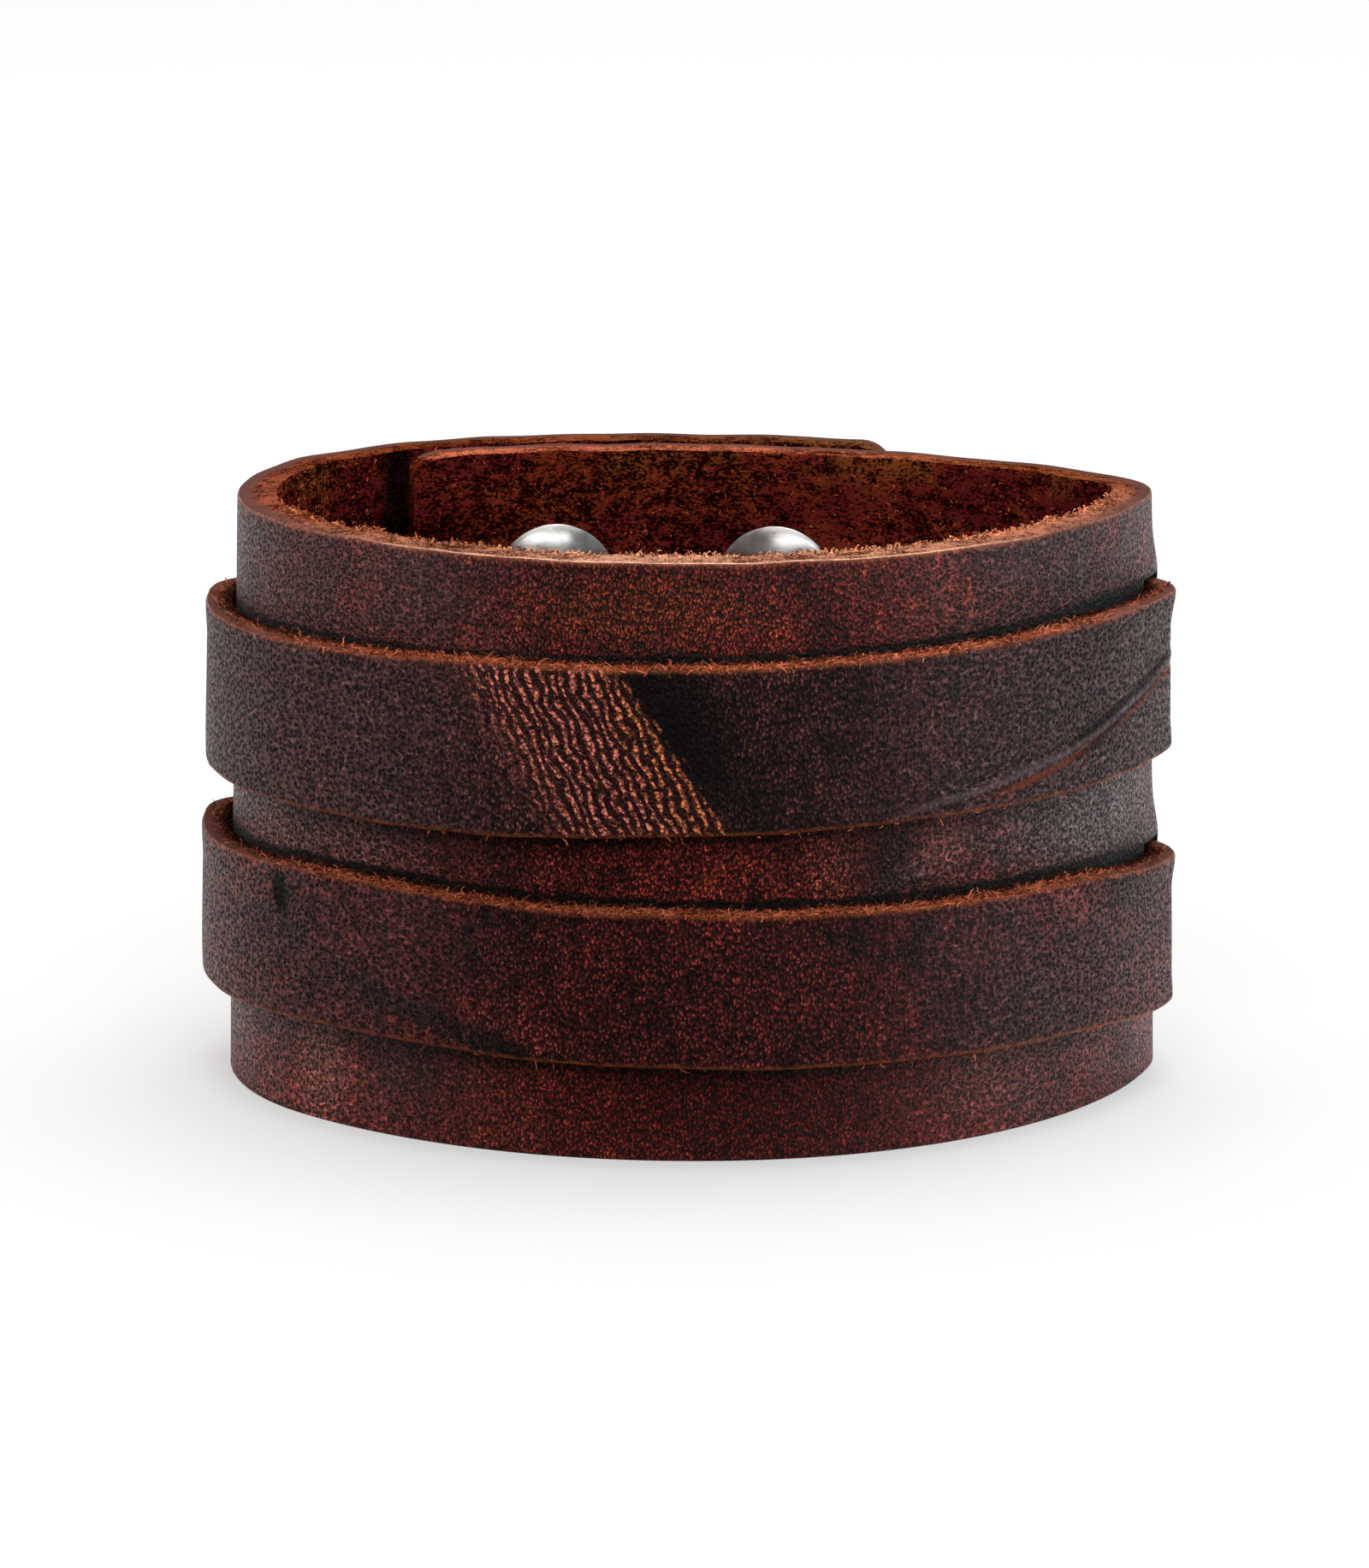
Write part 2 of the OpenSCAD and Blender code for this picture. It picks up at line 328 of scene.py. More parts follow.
def thicken(bm, thickness, grain_round, flesh_round):
    bmesh.ops.solidify(bm, geom=bm.faces[:], thickness=thickness)
    across = [e for e in bm.edges if abs(e.verts[0].co.y - e.verts[1].co.y) > thickness / 2]
    bmesh.ops.subdivide_edges(bm, edges=across, cuts=RIM_CUTS, use_grid_fill=True)
    for depth, size, segments in ((0.0, grain_round, 3), (thickness, flesh_round, 2)):
        bmesh.ops.bevel(
            bm, geom=sharp_edges(bm, depth), offset=size, offset_type="OFFSET",
            segments=segments, profile=0.5, affect="EDGES", material=-1,
        )
    for face in bm.faces:
        facing = face.normal.y
        inner = FLESH if facing > FLESH_FACING else EDGE
        face.material_index = GRAIN if facing < GRAIN_FACING else inner
        face.smooth = True
    leather_map = bm.verts.layers.float_vector.new("leather_map")
    for v in bm.verts:
        v[leather_map] = (v.co.x, v.co.z, v.co.y)


def triangles(mesh):
    return sum(len(p.vertices) - 2 for p in mesh.polygons)


def finished(name, bm):
    """Turns a bmesh into a piece that rides on the one body."""
    mesh = bpy.data.meshes.new(name)
    bm.to_mesh(mesh)
    bm.free()
    piece = bpy.data.objects.new(name, mesh)
    bpy.context.scene.collection.objects.link(piece)
    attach(piece, "root")
    print(name, "has", triangles(mesh), "triangles")
    return piece


# %% [markdown]
# ## Where the straps pass the band, and where the snaps sit
#
# A slit has to be where the strap really crosses the band, on both of its faces. That could be
# solved with formulas, but walking down the strap in small steps until it is deep enough is
# shorter and can't go wrong. The straps also rise and sink a little on their way round, so the
# slits take their height from the same table. The snaps are placed on the inner arm, measured
# from its free end, and the same point is then looked up on the outer arm.

# %% Find the slits
STRAPS = {
    "upper": {"width": 12.3, "z": 31.05, "tilt": 1.25, "rise": [(-60, 0.0), (60, 0.0)],
              "swell": 0.3},
    "lower": {"width": 11.5, "z": 13.35, "tilt": -0.9, "swell": 0.0,
              "rise": [(-45, -0.4), (-26, 0.3), (-10, 0.0), (29, 0.0), (43, -0.95)]},
}
SLIT_SIDE = 0.2
SLIT_END = 0.4
STEP = 0.02


def nearest_on(runs, point):
    """Distance along some arcs, and depth inside their line, of a point beside them."""
    found = []
    for run in runs:
        spoke = point - run["pivot"]
        length = (heading_of(spoke) - run["heading"]) % math.tau * run["bend"]
        if length <= run["end"] - run["start"]:
            found.append((run["start"] + length, run["bend"] - spoke.length))
    return min(found, key=lambda place: abs(place[1]))


def crossing(arm, out, depth):
    """Places on the band and on the strap where the strap's face gets to a depth."""
    s = strap_arms[arm][2]["start"]
    while True:
        place, deep = nearest_on(band_arms[arm], point_on(strap_arms[arm], s, out)[0])
        if deep >= depth:
            return place, s
        s += STEP


def strap_middle(row, s_strap, x):
    """Height of a strap's middle line."""
    strap = STRAPS[row]
    return strap["z"] + eased(strap["rise"], s_strap) + x * math.tan(math.radians(strap["tilt"]))


slits = {}
for arm, side in SIDES.items():
    half = STRAP_T / 2 + SLIT_SIDE
    near, far = ([crossing(arm, out, depth) for depth in (0.0, BAND_T)] for out in (-half, half))
    slit = {"from": (near[0][0] + near[1][0]) / 2, "to": (far[0][0] + far[1][0]) / 2,
            "near_slant": (near[1][0] - near[0][0]) / 2, "far_slant": (far[1][0] - far[0][0]) / 2}
    x = on_plan(band_arms, side * (slit["from"] + slit["to"]) / 2, 0.0)[0].x
    for row, strap in STRAPS.items():
        middle = strap_middle(row, side * (near[0][1] + far[0][1]) / 2, x)
        reach = strap["width"] / 2 + SLIT_END
        slit[row] = (middle - reach, middle + reach)
    slits[arm] = slit
    print(arm, "slit from", round(slit["from"], 2), "to", round(slit["to"], 2), "mm")

# %% Find the snaps
SNAP_ROWS = {"upper": 34.0, "lower": 10.5}
SNAP_COLUMNS = {"left": 12.0, "right": 29.9}
LAYER_GAP = 1.0
HOLE_R = 1.75
SEAT_R = 4.95
SEAT_DEPTH = 0.25


def on_outer_arm(s):
    """The place on the outer arm that lies over a place on the inner arm."""
    target = on_plan(band_arms, s, LAYER_GAP + BAND_T)[0]
    steps = (BAND_LEFT + 0.1 * i for i in range(600))
    return min(steps, key=lambda t: (on_plan(band_arms, t, 0.0)[0] - target).length)


snap_at = {column: BAND_RIGHT - end for column, end in SNAP_COLUMNS.items()}
snap_over = {column: on_outer_arm(s) for column, s in snap_at.items()}
print("snaps on the inner arm", snap_at, "and on the outer arm", snap_over)

# %% [markdown]
# ## The band
#
# The band is cut from the sheet with its slits, its snap holes and its round corners. While it
# is still flat it gets the marks of use: the snaps have pressed their seats into it, it swells
# out over the right slits where it bends sharply, the flesh side is rough, and the cut rims
# wander a little. The inner end is cut at a slant, so its dark end face can be seen from the
# front. A second attribute keeps how near each point is to a strap, because the finish paints
# shade there. Then every point is bent round the plan.

# %% Shape of the band
BAND_CELL = 0.6
CORNERS = [(1, 1, 2.6, 1.2), (1, -1, 2.4, 2.0), (-1, 1, 2.6, 2.6), (-1, -1, 2.6, 2.6)]
LIP = 0.4
LIP_HALF = 2.2
LIP_SPAN = (38, 46, 50, 60)
RIM_WANDER, RIM_WAVE = 0.14, 5
FLESH_ROUGH, FLESH_WAVE = 0.16, 0.9


def pressed(s, z):
    """How far the snaps have pressed their seats in here."""
    reach = min(
        math.hypot(s - seat, z - height)
        for seats in (snap_at, snap_over) for seat in seats.values()
        for height in SNAP_ROWS.values()
    )
    return SEAT_DEPTH * (1 - ease(reach, SEAT_R - 0.3, SEAT_R + 0.5))


def lip(s, z):
    """How far the leather swells out just over the right slits."""
    if not LIP_SPAN[0] < s < LIP_SPAN[-1]:
        return 0.0
    over = sum(math.exp(-(((z - slits["right"][row][1]) / LIP_HALF) ** 2)) for row in STRAPS)
    return LIP * over * between(s, *LIP_SPAN)


def place_band(s, depth, z):
    """Where a point of the flat band ends up, in millimetres, and the heading there."""
    if z > BAND_H / 2:
        near_rim = ease(z, BAND_H - 4, BAND_H)
        z += RIM_WANDER * near_rim * noise.noise(Vector((s / RIM_WAVE, 0.0, 3.7)))
    flesh = ease(depth, BAND_T - 0.6, BAND_T)
    rough = FLESH_ROUGH * flesh * noise.noise(Vector((s / FLESH_WAVE, z / FLESH_WAVE, 8.1)))
    seat = pressed(s, z)
    depth += rough - seat * flesh if s > 0 else rough + seat * (1 - flesh)
    point, heading = on_plan(band_arms, s, lip(s, z) - depth)
    return stand(point, z), heading


# %% Cut and bend the band
SLANT_REACH = 9.0
SKIVE = 1.3
SKIVE_REACH = 6.0
FAR_OFF = 9.0
OUTER_RUN = 1.04


def slant_slits(bm):
    """Slants the ends of the slits through the thickness, as the straps pass."""
    for arm, side in SIDES.items():
        slit = slits[arm]
        for v in bm.verts:
            u = side * v.co.x
            before = 1 - ease(slit["from"] - u, 0.0, SLANT_REACH)
            after = 1 - ease(u - slit["to"], 0.0, SLANT_REACH)
            share = ease(u, slit["from"], slit["to"])
            slant = slit["near_slant"] * (1 - share) * before + slit["far_slant"] * share * after
            v.co.x += side * slant * (2 * v.co.y / BAND_T - 1)


def skive_end(bm):
    """Lets the flesh side of the inner end reach a little farther than the grain side."""
    for v in bm.verts:
        v.co.x += SKIVE * v.co.y / BAND_T * ease(v.co.x, BAND_RIGHT - SKIVE_REACH, BAND_RIGHT)
    for face in bm.faces:
        if face.calc_center_median().x > BAND_RIGHT - 0.5:
            face.material_index = FLESH


def measure_gaps(bm):
    """Stores how far each point lies above the nearest strap under it, and below one over it."""
    gaps = bm.verts.layers.float_vector.new("strap_gaps")
    for v in bm.verts:
        s, _, z = v.co
        over, under = [FAR_OFF], [FAR_OFF]
        x = on_plan(band_arms, s, 0.0)[0].x
        covered = -slits["left"]["to"] < s < slits["right"]["to"]
        for row, strap in STRAPS.items() if covered else ():
            middle = strap_middle(row, s * OUTER_RUN, x)
            for side, found in ((1, over), (-1, under)):
                gap = side * (z - middle) - strap["width"] / 2
                if gap > -1:
                    found.append(gap)
        v[gaps] = (min(over), min(under), 0.0)


def bend(bm, place):
    for v in bm.verts:
        v.co = place(v.co.x, v.co.y, v.co.z)[0] * MM


bm = flat_sheet(BAND_LEFT, BAND_RIGHT, 0.0, BAND_H, BAND_CELL)
for arm, side in SIDES.items():
    ends = sorted((side * slits[arm]["from"], side * slits[arm]["to"]))
    for row in STRAPS:
        punch_slit(bm, *ends, *slits[arm][row])
for seats in (snap_at, snap_over):
    for s in seats.values():
        for height in SNAP_ROWS.values():
            punch_hole(bm, s, height, HOLE_R, BAND_CELL)
for toward_s, toward_z, run, drop in CORNERS:
    end = BAND_RIGHT if toward_s > 0 else BAND_LEFT
    round_corner(bm, end, BAND_H if toward_z > 0 else 0.0, toward_s, toward_z, run, drop)
thicken(bm, BAND_T, grain_round=0.24, flesh_round=0.12)
slant_slits(bm)
skive_end(bm)
measure_gaps(bm)
bend(bm, place_band)
band = finished("band_leather", bm)
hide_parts("band")

# %% [markdown]
# ## The straps
#
# A strap is cut and bent in the same way, along its own route. Its edges are burnished round,
# it hugs the band and is thinner where it is pulled tight round the sides, and there its
# upper edge curls out. The upper strap has a long diagonal fold at the right: a ridge between
# two grooves, which are real here, and so is a small scar on the lower strap.

# %% Shape of a strap
STRAP_CELL = 0.36
LEFT_PULLED = (30, 42, 52, 57)
RIGHT_PULLED = (32, 42, 48, 52)
THIN = 0.2
HUG_LEFT, HUG_RIGHT = 0.25, 0.08
CURL = {"upper": 0.5, "lower": 0.4}
CURL_LEFT, CURL_UNDER = 0.22, 0.16
EDGE_ROUND = 0.10
EDGE_WANDER, EDGE_WAVE = 0.10, 4
SWELL_AT, SWELL_HALF = -17, 9
FOLD = [(14.5, 25.4), (20.5, 26.6), (28.3, 27.8), (32.2, 28.85), (36.3, 30.1), (40.4, 31.05),
        (45.0, 32.1), (48.0, 32.7)]
FOLD_HEIGHT = 0.15
FOLD_HALF = 0.36
FOLD_RISE, FOLD_SINK = (14, 26), (42, 47)
SCAR = (-33.6, 16.9)
SCAR_HALF = (0.75, 1.5)
SCAR_DEPTH = 0.22


def off_line(s, z, line):
    """Distance from a line of points, positive above it."""
    best = math.inf
    for (s0, z0), (s1, z1) in zip(line, line[1:]):
        run = Vector((s1 - s0, z1 - z0))
        t = min(1.0, max(0.0, Vector((s - s0, z - z0)).dot(run) / run.length_squared))
        gap = Vector((s - s0 - t * run.x, z - z0 - t * run.y))
        if gap.length < abs(best):
            best = math.copysign(gap.length, gap.y)
    return best


def folded(s, z):
    """Depth of the fold's grooves, negative on its ridge."""
    if not FOLD_RISE[0] < s < FOLD[-1][0]:
        return 0.0
    gap = off_line(s, z, FOLD) / FOLD_HALF
    grooves = math.exp(-((gap - 1.5) ** 2)) + math.exp(-((gap + 1.5) ** 2))
    reach = ease(s, *FOLD_RISE) * (1 - 0.8 * ease(s, *FOLD_SINK))
    return FOLD_HEIGHT * (grooves - math.exp(-gap * gap)) * reach


def scarred(s, z):
    """Depth of the small scar."""
    reach = math.hypot((s - SCAR[0]) / SCAR_HALF[0], (z - SCAR[1]) / SCAR_HALF[1])
    return SCAR_DEPTH * (1 - ease(reach, 0.3, 1.2))


def place_strap(row):
    """A function that says where a point of one flat strap ends up, and the heading there."""
    strap = STRAPS[row]
    marks = folded if row == "upper" else scarred

    def place(s, depth, z):
        v = (z - strap["z"]) / (strap["width"] / 2)
        grain = 1 - ease(depth, 0.0, STRAP_T * 0.6)
        left, right = between(-s, *LEFT_PULLED), between(s, *RIGHT_PULLED)
        out = STRAP_T / 2 - depth - HUG_LEFT * left - HUG_RIGHT * right
        out -= (THIN * (left + right) + EDGE_ROUND * v**4 + marks(s, z)) * grain
        out += (CURL[row] * right + CURL_LEFT * left) * ease(v, 0.5, 1.05)
        out += CURL_UNDER * right * ease(-v, 0.6, 1.0)
        z += EDGE_WANDER * abs(v) * noise.noise(Vector((s / EDGE_WAVE, v, 5.5)))
        z += strap["swell"] * v * math.exp(-(((s - SWELL_AT) / SWELL_HALF) ** 2))
        point, heading = on_plan(strap_arms, s, out)
        return stand(point, z - strap["z"] + strap_middle(row, s, point.x)), heading

    return place


# %% Cut and bend the straps
straps = {}
for row, strap in STRAPS.items():
    low, high = strap["z"] - strap["width"] / 2, strap["z"] + strap["width"] / 2
    bm = flat_sheet(STRAP_LEFT, STRAP_RIGHT, low, high, STRAP_CELL)
    thicken(bm, STRAP_T, grain_round=0.30, flesh_round=0.10)
    bend(bm, place_strap(row))
    straps[row] = finished(f"strap_{row}_leather", bm)
    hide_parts(f"strap_{row}")

# %% [markdown]
# ## The snaps
#
# Each half of a snap is turned, so a lathe is the natural way: half of its profile is drawn
# from the axis outwards and spun once round. A few arc points make the dome, and bevelling the
# other corners of the profile before the spin gives the rolled rim its highlight.

# %% Turn a profile
FLANGE_R = 4.75
FLANGE_H = 1.3
FLANGE_EDGE = 0.35
POST_R = 1.6
COLLAR_R = 3.4
TURNS = 72
DOME_POINTS = 12


def dome(base, toward):
    """Profile of a flange's dome from the axis to its edge."""
    rise = FLANGE_H - FLANGE_EDGE
    radius = (FLANGE_R**2 + rise**2) / (2 * rise)
    widths = (FLANGE_R * i / DOME_POINTS for i in range(DOME_POINTS + 1))
    return [
        (r, base + toward * (FLANGE_H - radius + math.sqrt(radius**2 - r**2))) for r in widths
    ]


def turned(name, profile, matrix):
    """A turned piece from its profile of radius and place on the axis."""
    bm = bmesh.new()
    verts = [bm.verts.new((x, r, 0.0)) for r, x in profile]
    for a, b in zip(verts, verts[1:]):
        bm.edges.new((a, b))
    bmesh.ops.bevel(
        bm, geom=verts[DOME_POINTS:-1], offset=0.09, offset_type="OFFSET", segments=3,
        profile=0.5, affect="VERTICES", material=-1,
    )
    bmesh.ops.spin(
        bm, geom=bm.verts[:] + bm.edges[:], cent=(0, 0, 0), axis=(1, 0, 0), dvec=(0, 0, 0),
        angle=math.tau, steps=TURNS, use_merge=True,
    )
    bmesh.ops.remove_doubles(bm, verts=bm.verts, dist=TOUCHING)
    bmesh.ops.recalc_face_normals(bm, faces=bm.faces)
    bmesh.ops.transform(bm, matrix=Matrix.Scale(MM, 4) @ matrix, verts=bm.verts)
    for face in bm.faces:
        face.smooth = True
    return finished(name, bm)


def snap_frame(s, z):
    """Places a snap's axis on the inner arm, +X out through both layers."""
    point, heading = on_plan(band_arms, s, 0.0)
    out = outward(heading).to_3d()
    spin = Matrix((out, Vector((0, 0, 1)).cross(out), (0, 0, 1))).transposed().to_4x4()
    return Matrix.Translation(stand(point, z)) @ spin


# %% Make the four snaps
inner_seat = -BAND_T + SEAT_DEPTH - 0.1
stud_profile = dome(inner_seat, -1) + [
    (FLANGE_R, inner_seat), (POST_R, inner_seat), (POST_R, 0.1), (COLLAR_R, 0.1),
    (COLLAR_R, 0.4), (POST_R, 0.4), (POST_R, 2.5), (0.0, 2.5),
]
outer_seat = LAYER_GAP + BAND_T - SEAT_DEPTH + 0.1
cap_profile = dome(outer_seat, 1) + [
    (FLANGE_R, outer_seat), (2.5, outer_seat), (2.5, 0.9), (COLLAR_R, 0.9), (COLLAR_R, 0.6),
    (1.75, 0.6), (1.75, 3.1), (0.0, 3.1),
]
snaps = []
for row, z in SNAP_ROWS.items():
    for column, s in snap_at.items():
        for kind, profile in (("stud", stud_profile), ("cap", cap_profile)):
            node = f"{kind}_{row}_{column}"
            piece = turned(f"snap_{node}", profile, snap_frame(s, z))
            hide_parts(node)
            snaps.append(piece)

# %% [markdown]
# ## Loose fibres
#
# Cut leather is never clean: bundles of fibre stand up from the cut rims, and the flesh side
# has a nap. Bump alone looks flat at an edge against a pale ground, so these fibres are real.
# Hair curves would need a render-time thickness that an exported mesh can't keep. So a few
# kinds of fibre are made from a small three-sided cone whose tip is extruded, turned and
# narrowed a few times, thousands of places are sown, and Geometry Nodes puts a fibre on each.
# There are three handfuls: thick ones for the clumps on the rim, thin ones for the edges of the
# straps, and short bent ones for the nap.

# %% Make a few kinds of fibre
seeded = random.Random(7)
TAPER, TIP = 0.85, 0.35


def fibre(name, steps, thickness, curl):
    """A closed fibre, 1 mm long, that grows up from the origin and curls to its tip."""
    bm = bmesh.new()
    rise = 1.0 / (steps + 1)
    bmesh.ops.create_cone(
        bm, cap_ends=True, segments=3, radius1=thickness, radius2=thickness * TAPER, depth=rise
    )
    tip = max(bm.faces, key=lambda f: f.calc_center_median().z)
    turn = 0.0
    for i in range(steps):
        out = bmesh.ops.extrude_face_region(bm, geom=[tip])["geom"]
        bmesh.ops.delete(bm, geom=[tip], context="FACES_ONLY")
        tip = next(g for g in out if isinstance(g, bmesh.types.BMFace))
        turn += curl * seeded.uniform(0.5, 1.5) / steps
        spin = Matrix.Rotation(turn, 3, "Y") @ Matrix.Rotation(seeded.uniform(-0.5, 0.5), 3, "X")
        bmesh.ops.translate(bm, vec=spin @ Vector((0, 0, rise)), verts=tip.verts)
        centre = Matrix.Translation(-tip.calc_center_median())
        narrow = TIP if i == steps - 1 else TAPER
        bmesh.ops.scale(bm, vec=(narrow,) * 3, space=centre, verts=tip.verts)
    mesh = bpy.data.meshes.new(name)
    bmesh.ops.recalc_face_normals(bm, faces=bm.faces)
    bm.to_mesh(mesh)
    bm.free()
    return bpy.data.objects.new(name, mesh)


def handful(name, count, steps, thickness, curl):
    """A collection of fibres that differ in how they curl."""
    kinds = bpy.data.collections.new(name)
    for i in range(count):
        kinds.objects.link(fibre(f"{name}_{i}", steps, thickness, curl * (1 - 2 * (i % 2))))
    print(count, "kinds of", name)
    return kinds


clump_kinds = handful("clump_fibre", 8, 4, 0.13, 3.6)
edge_kinds = handful("edge_fibre", 8, 4, 0.05, 3.6)
nap_kinds = handful("nap_fibre", 6, 1, 0.11, 0.9)

# %% Sow the fibres with Geometry Nodes


def sower(kinds):
    """A Geometry Nodes tree that puts a fibre of some kind on every point."""
    tree = bpy.data.node_groups.new(f"sow_{kinds.name}", "GeometryNodeTree")
    tree.interface.new_socket("Geometry", in_out="INPUT", socket_type="NodeSocketGeometry")
    tree.interface.new_socket("Geometry", in_out="OUTPUT", socket_type="NodeSocketGeometry")
    start, end = tree.nodes.new("NodeGroupInput"), tree.nodes.new("NodeGroupOutput")
    pick = tree.nodes.new("GeometryNodeCollectionInfo")
    pick.inputs["Collection"].default_value = kinds
    pick.inputs["Separate Children"].default_value = True
    place = tree.nodes.new("GeometryNodeInstanceOnPoints")
    place.inputs["Pick Instance"].default_value = True
    realize = tree.nodes.new("GeometryNodeRealizeInstances")
    turn = tree.nodes.new("FunctionNodeEulerToRotation")
    links = tree.links
    links.new(start.outputs[0], place.inputs["Points"])
    links.new(pick.outputs[0], place.inputs["Instance"])
    for name, kind, socket in (
        ("turn", "FLOAT_VECTOR", turn.inputs[0]),
        ("size", "FLOAT_VECTOR", place.inputs["Scale"]),
        ("kind", "INT", place.inputs["Instance Index"]),
    ):
        read = tree.nodes.new("GeometryNodeInputNamedAttribute")
        read.data_type = kind
        read.inputs["Name"].default_value = name
        links.new(read.outputs["Attribute"], socket)
    links.new(turn.outputs[0], place.inputs["Rotation"])
    links.new(place.outputs[0], realize.inputs[0])
    links.new(realize.outputs[0], end.inputs[0])
    return tree


def sow(name, kinds, places):
    """One mesh of fibres at places of root, direction, length, thickness and map."""
    bm = bmesh.new()
    turn = bm.verts.layers.float_vector.new("turn")
    size = bm.verts.layers.float_vector.new("size")
    kind = bm.verts.layers.int.new("kind")
    leather_map = bm.verts.layers.float_vector.new("leather_map")
    for root, direction, length, thickness, on_map in places:
        v = bm.verts.new(root * MM)
        roll = Quaternion((0, 0, 1), seeded.uniform(0, math.tau))
        v[turn] = (direction.to_track_quat("Z", "Y") @ roll).to_euler()
        v[size] = Vector((thickness, thickness, length)) * MM
        v[kind] = seeded.randrange(len(kinds.objects))
        v[leather_map] = on_map
    mesh = bpy.data.meshes.new(name)
    bm.to_mesh(mesh)
    bm.free()
    source = bpy.data.objects.new(name, mesh)
    bpy.context.scene.collection.objects.link(source)
    source.modifiers.new("sow", "NODES").node_group = sower(kinds)
    made = source.evaluated_get(bpy.context.evaluated_depsgraph_get())
    source.data = bpy.data.meshes.new_from_object(made)
    source.modifiers.clear()
    source.data.name = name
    source.data.materials.clear()
    bpy.data.meshes.remove(mesh)
    for unused in ("turn", "size", "kind"):
        if unused in source.data.attributes:
            source.data.attributes.remove(source.data.attributes[unused])
    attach(source, "root")
    print(name, "has", len(places), "fibres and", triangles(source.data), "triangles")
    return source


# %% Fibres along the upper rim of the band
RIM_FIBRES = 3000
RIM_REACH = 49.0


def direction_of(heading, along, out, up):
    """A direction along the leather, out from it and up."""
    flat = along * forward(heading) + out * outward(heading)
    return Vector((flat.x, flat.y, up)).normalized()


places = []
while len(places) < RIM_FIBRES:
    tuft = seeded.uniform(-RIM_REACH, RIM_REACH)
    size = seeded.uniform(0.5, 1.5) * (1 - 0.6 * ease(abs(tuft), 36, RIM_REACH))
    for _ in range(seeded.randint(2, 12)):
        s = tuft + seeded.gauss(0, 0.3)
        depth = BAND_T - abs(seeded.gauss(0, 0.35)) - 0.05
        root, heading = place_band(s, depth, BAND_H - 0.05)
        turn = seeded.uniform(-0.35, math.pi + 0.35)
        rise = seeded.uniform(-0.15, 0.45)
        lean = direction_of(heading, math.cos(turn), -math.sin(turn), rise)
        length = size * seeded.uniform(0.20, 0.60)
        thickness = size * seeded.uniform(0.30, 0.90)
        places.append((root, lean, length, thickness, (s, BAND_H, depth)))
rim_fibres = sow("band_rim_fibres", clump_kinds, places)

# %% The nap of the flesh side
NAP_FIBRES = 14000
NAP_MARGIN = 4
FLAP_SHADE = on_outer_arm(BAND_RIGHT + SKIVE) - 1.0
FLAP_HALF = 2.2


def covered_inside(s, z):
    """Whether a strap's tail, a snap or the shade of the inner end lies here."""
    by_tail = z < BAND_H - NAP_MARGIN and any(
        slits[arm]["from"] - NAP_MARGIN < side * s < slits[arm]["to"] + NAP_MARGIN
        for arm, side in SIDES.items()
    )
    return by_tail or pressed(s, z) > 0 or abs(s - FLAP_SHADE) < FLAP_HALF


places = []
while len(places) < NAP_FIBRES:
    s, z = seeded.uniform(BAND_LEFT + 1, BAND_RIGHT - 1), seeded.uniform(1, BAND_H - 0.15)
    if covered_inside(s, z):
        continue
    root, heading = place_band(s, BAND_T - 0.02, z)
    lean = direction_of(heading, seeded.gauss(0, 0.9), -0.45, seeded.gauss(0.1, 0.7))
    places.append((root, lean, seeded.uniform(0.15, 0.45), seeded.uniform(0.4, 0.9),
                   (s, z, BAND_T)))
nap = sow("band_nap", nap_kinds, places)

# %% Fibres on the edges of the straps
STRAP_FIBRES = 5200
SMOOTH_FROM, SMOOTH_TO = 30, 42
BARE_FROM = 34
for row, strap in STRAPS.items():
    place = place_strap(row)
    places = []
    for _ in range(STRAP_FIBRES):
        s = OUTER_RUN * seeded.uniform(-slits["left"]["from"], slits["right"]["from"])
        up = 1 if seeded.random() < 0.94 else -1
        depth = seeded.uniform(0.12, 2.1) if up > 0 else seeded.uniform(0.15, 0.7)
        if abs(s) > BARE_FROM and (up < 0 or depth < 1.0):
            continue
        smooth = ease(abs(s), SMOOTH_FROM, SMOOTH_TO)
        edge = strap["z"] + up * strap["width"] / 2
        root, heading = place(s, depth, edge - 0.04 * up)
        lean_out = min(seeded.gauss(-0.1, 0.6), 0.3 - 0.8 * smooth)
        lean = direction_of(heading, seeded.gauss(0, 0.7), lean_out, up * 0.8)
        length = seeded.uniform(0.15, 0.48) if up > 0 else seeded.uniform(0.05, 0.16)
        length *= 1.0 - 0.7 * smooth
        places.append((root, lean, length, seeded.uniform(0.7, 1.7), (s, edge, depth)))
    fibres = sow(f"strap_{row}_fibres", edge_kinds, places)
    straps[f"{row}_fibres"] = fibres

# %% [markdown]
# ## Tools for the finishes
#
# A finish is a tree of nodes, and a tree written as code gets long. A small helper adds a node,
# sets what it is given, and plugs in its inputs, which may be plain values or the outputs of
# other nodes. Effects that more than one finish uses are made once, as node groups.

# %% A desk for each tree


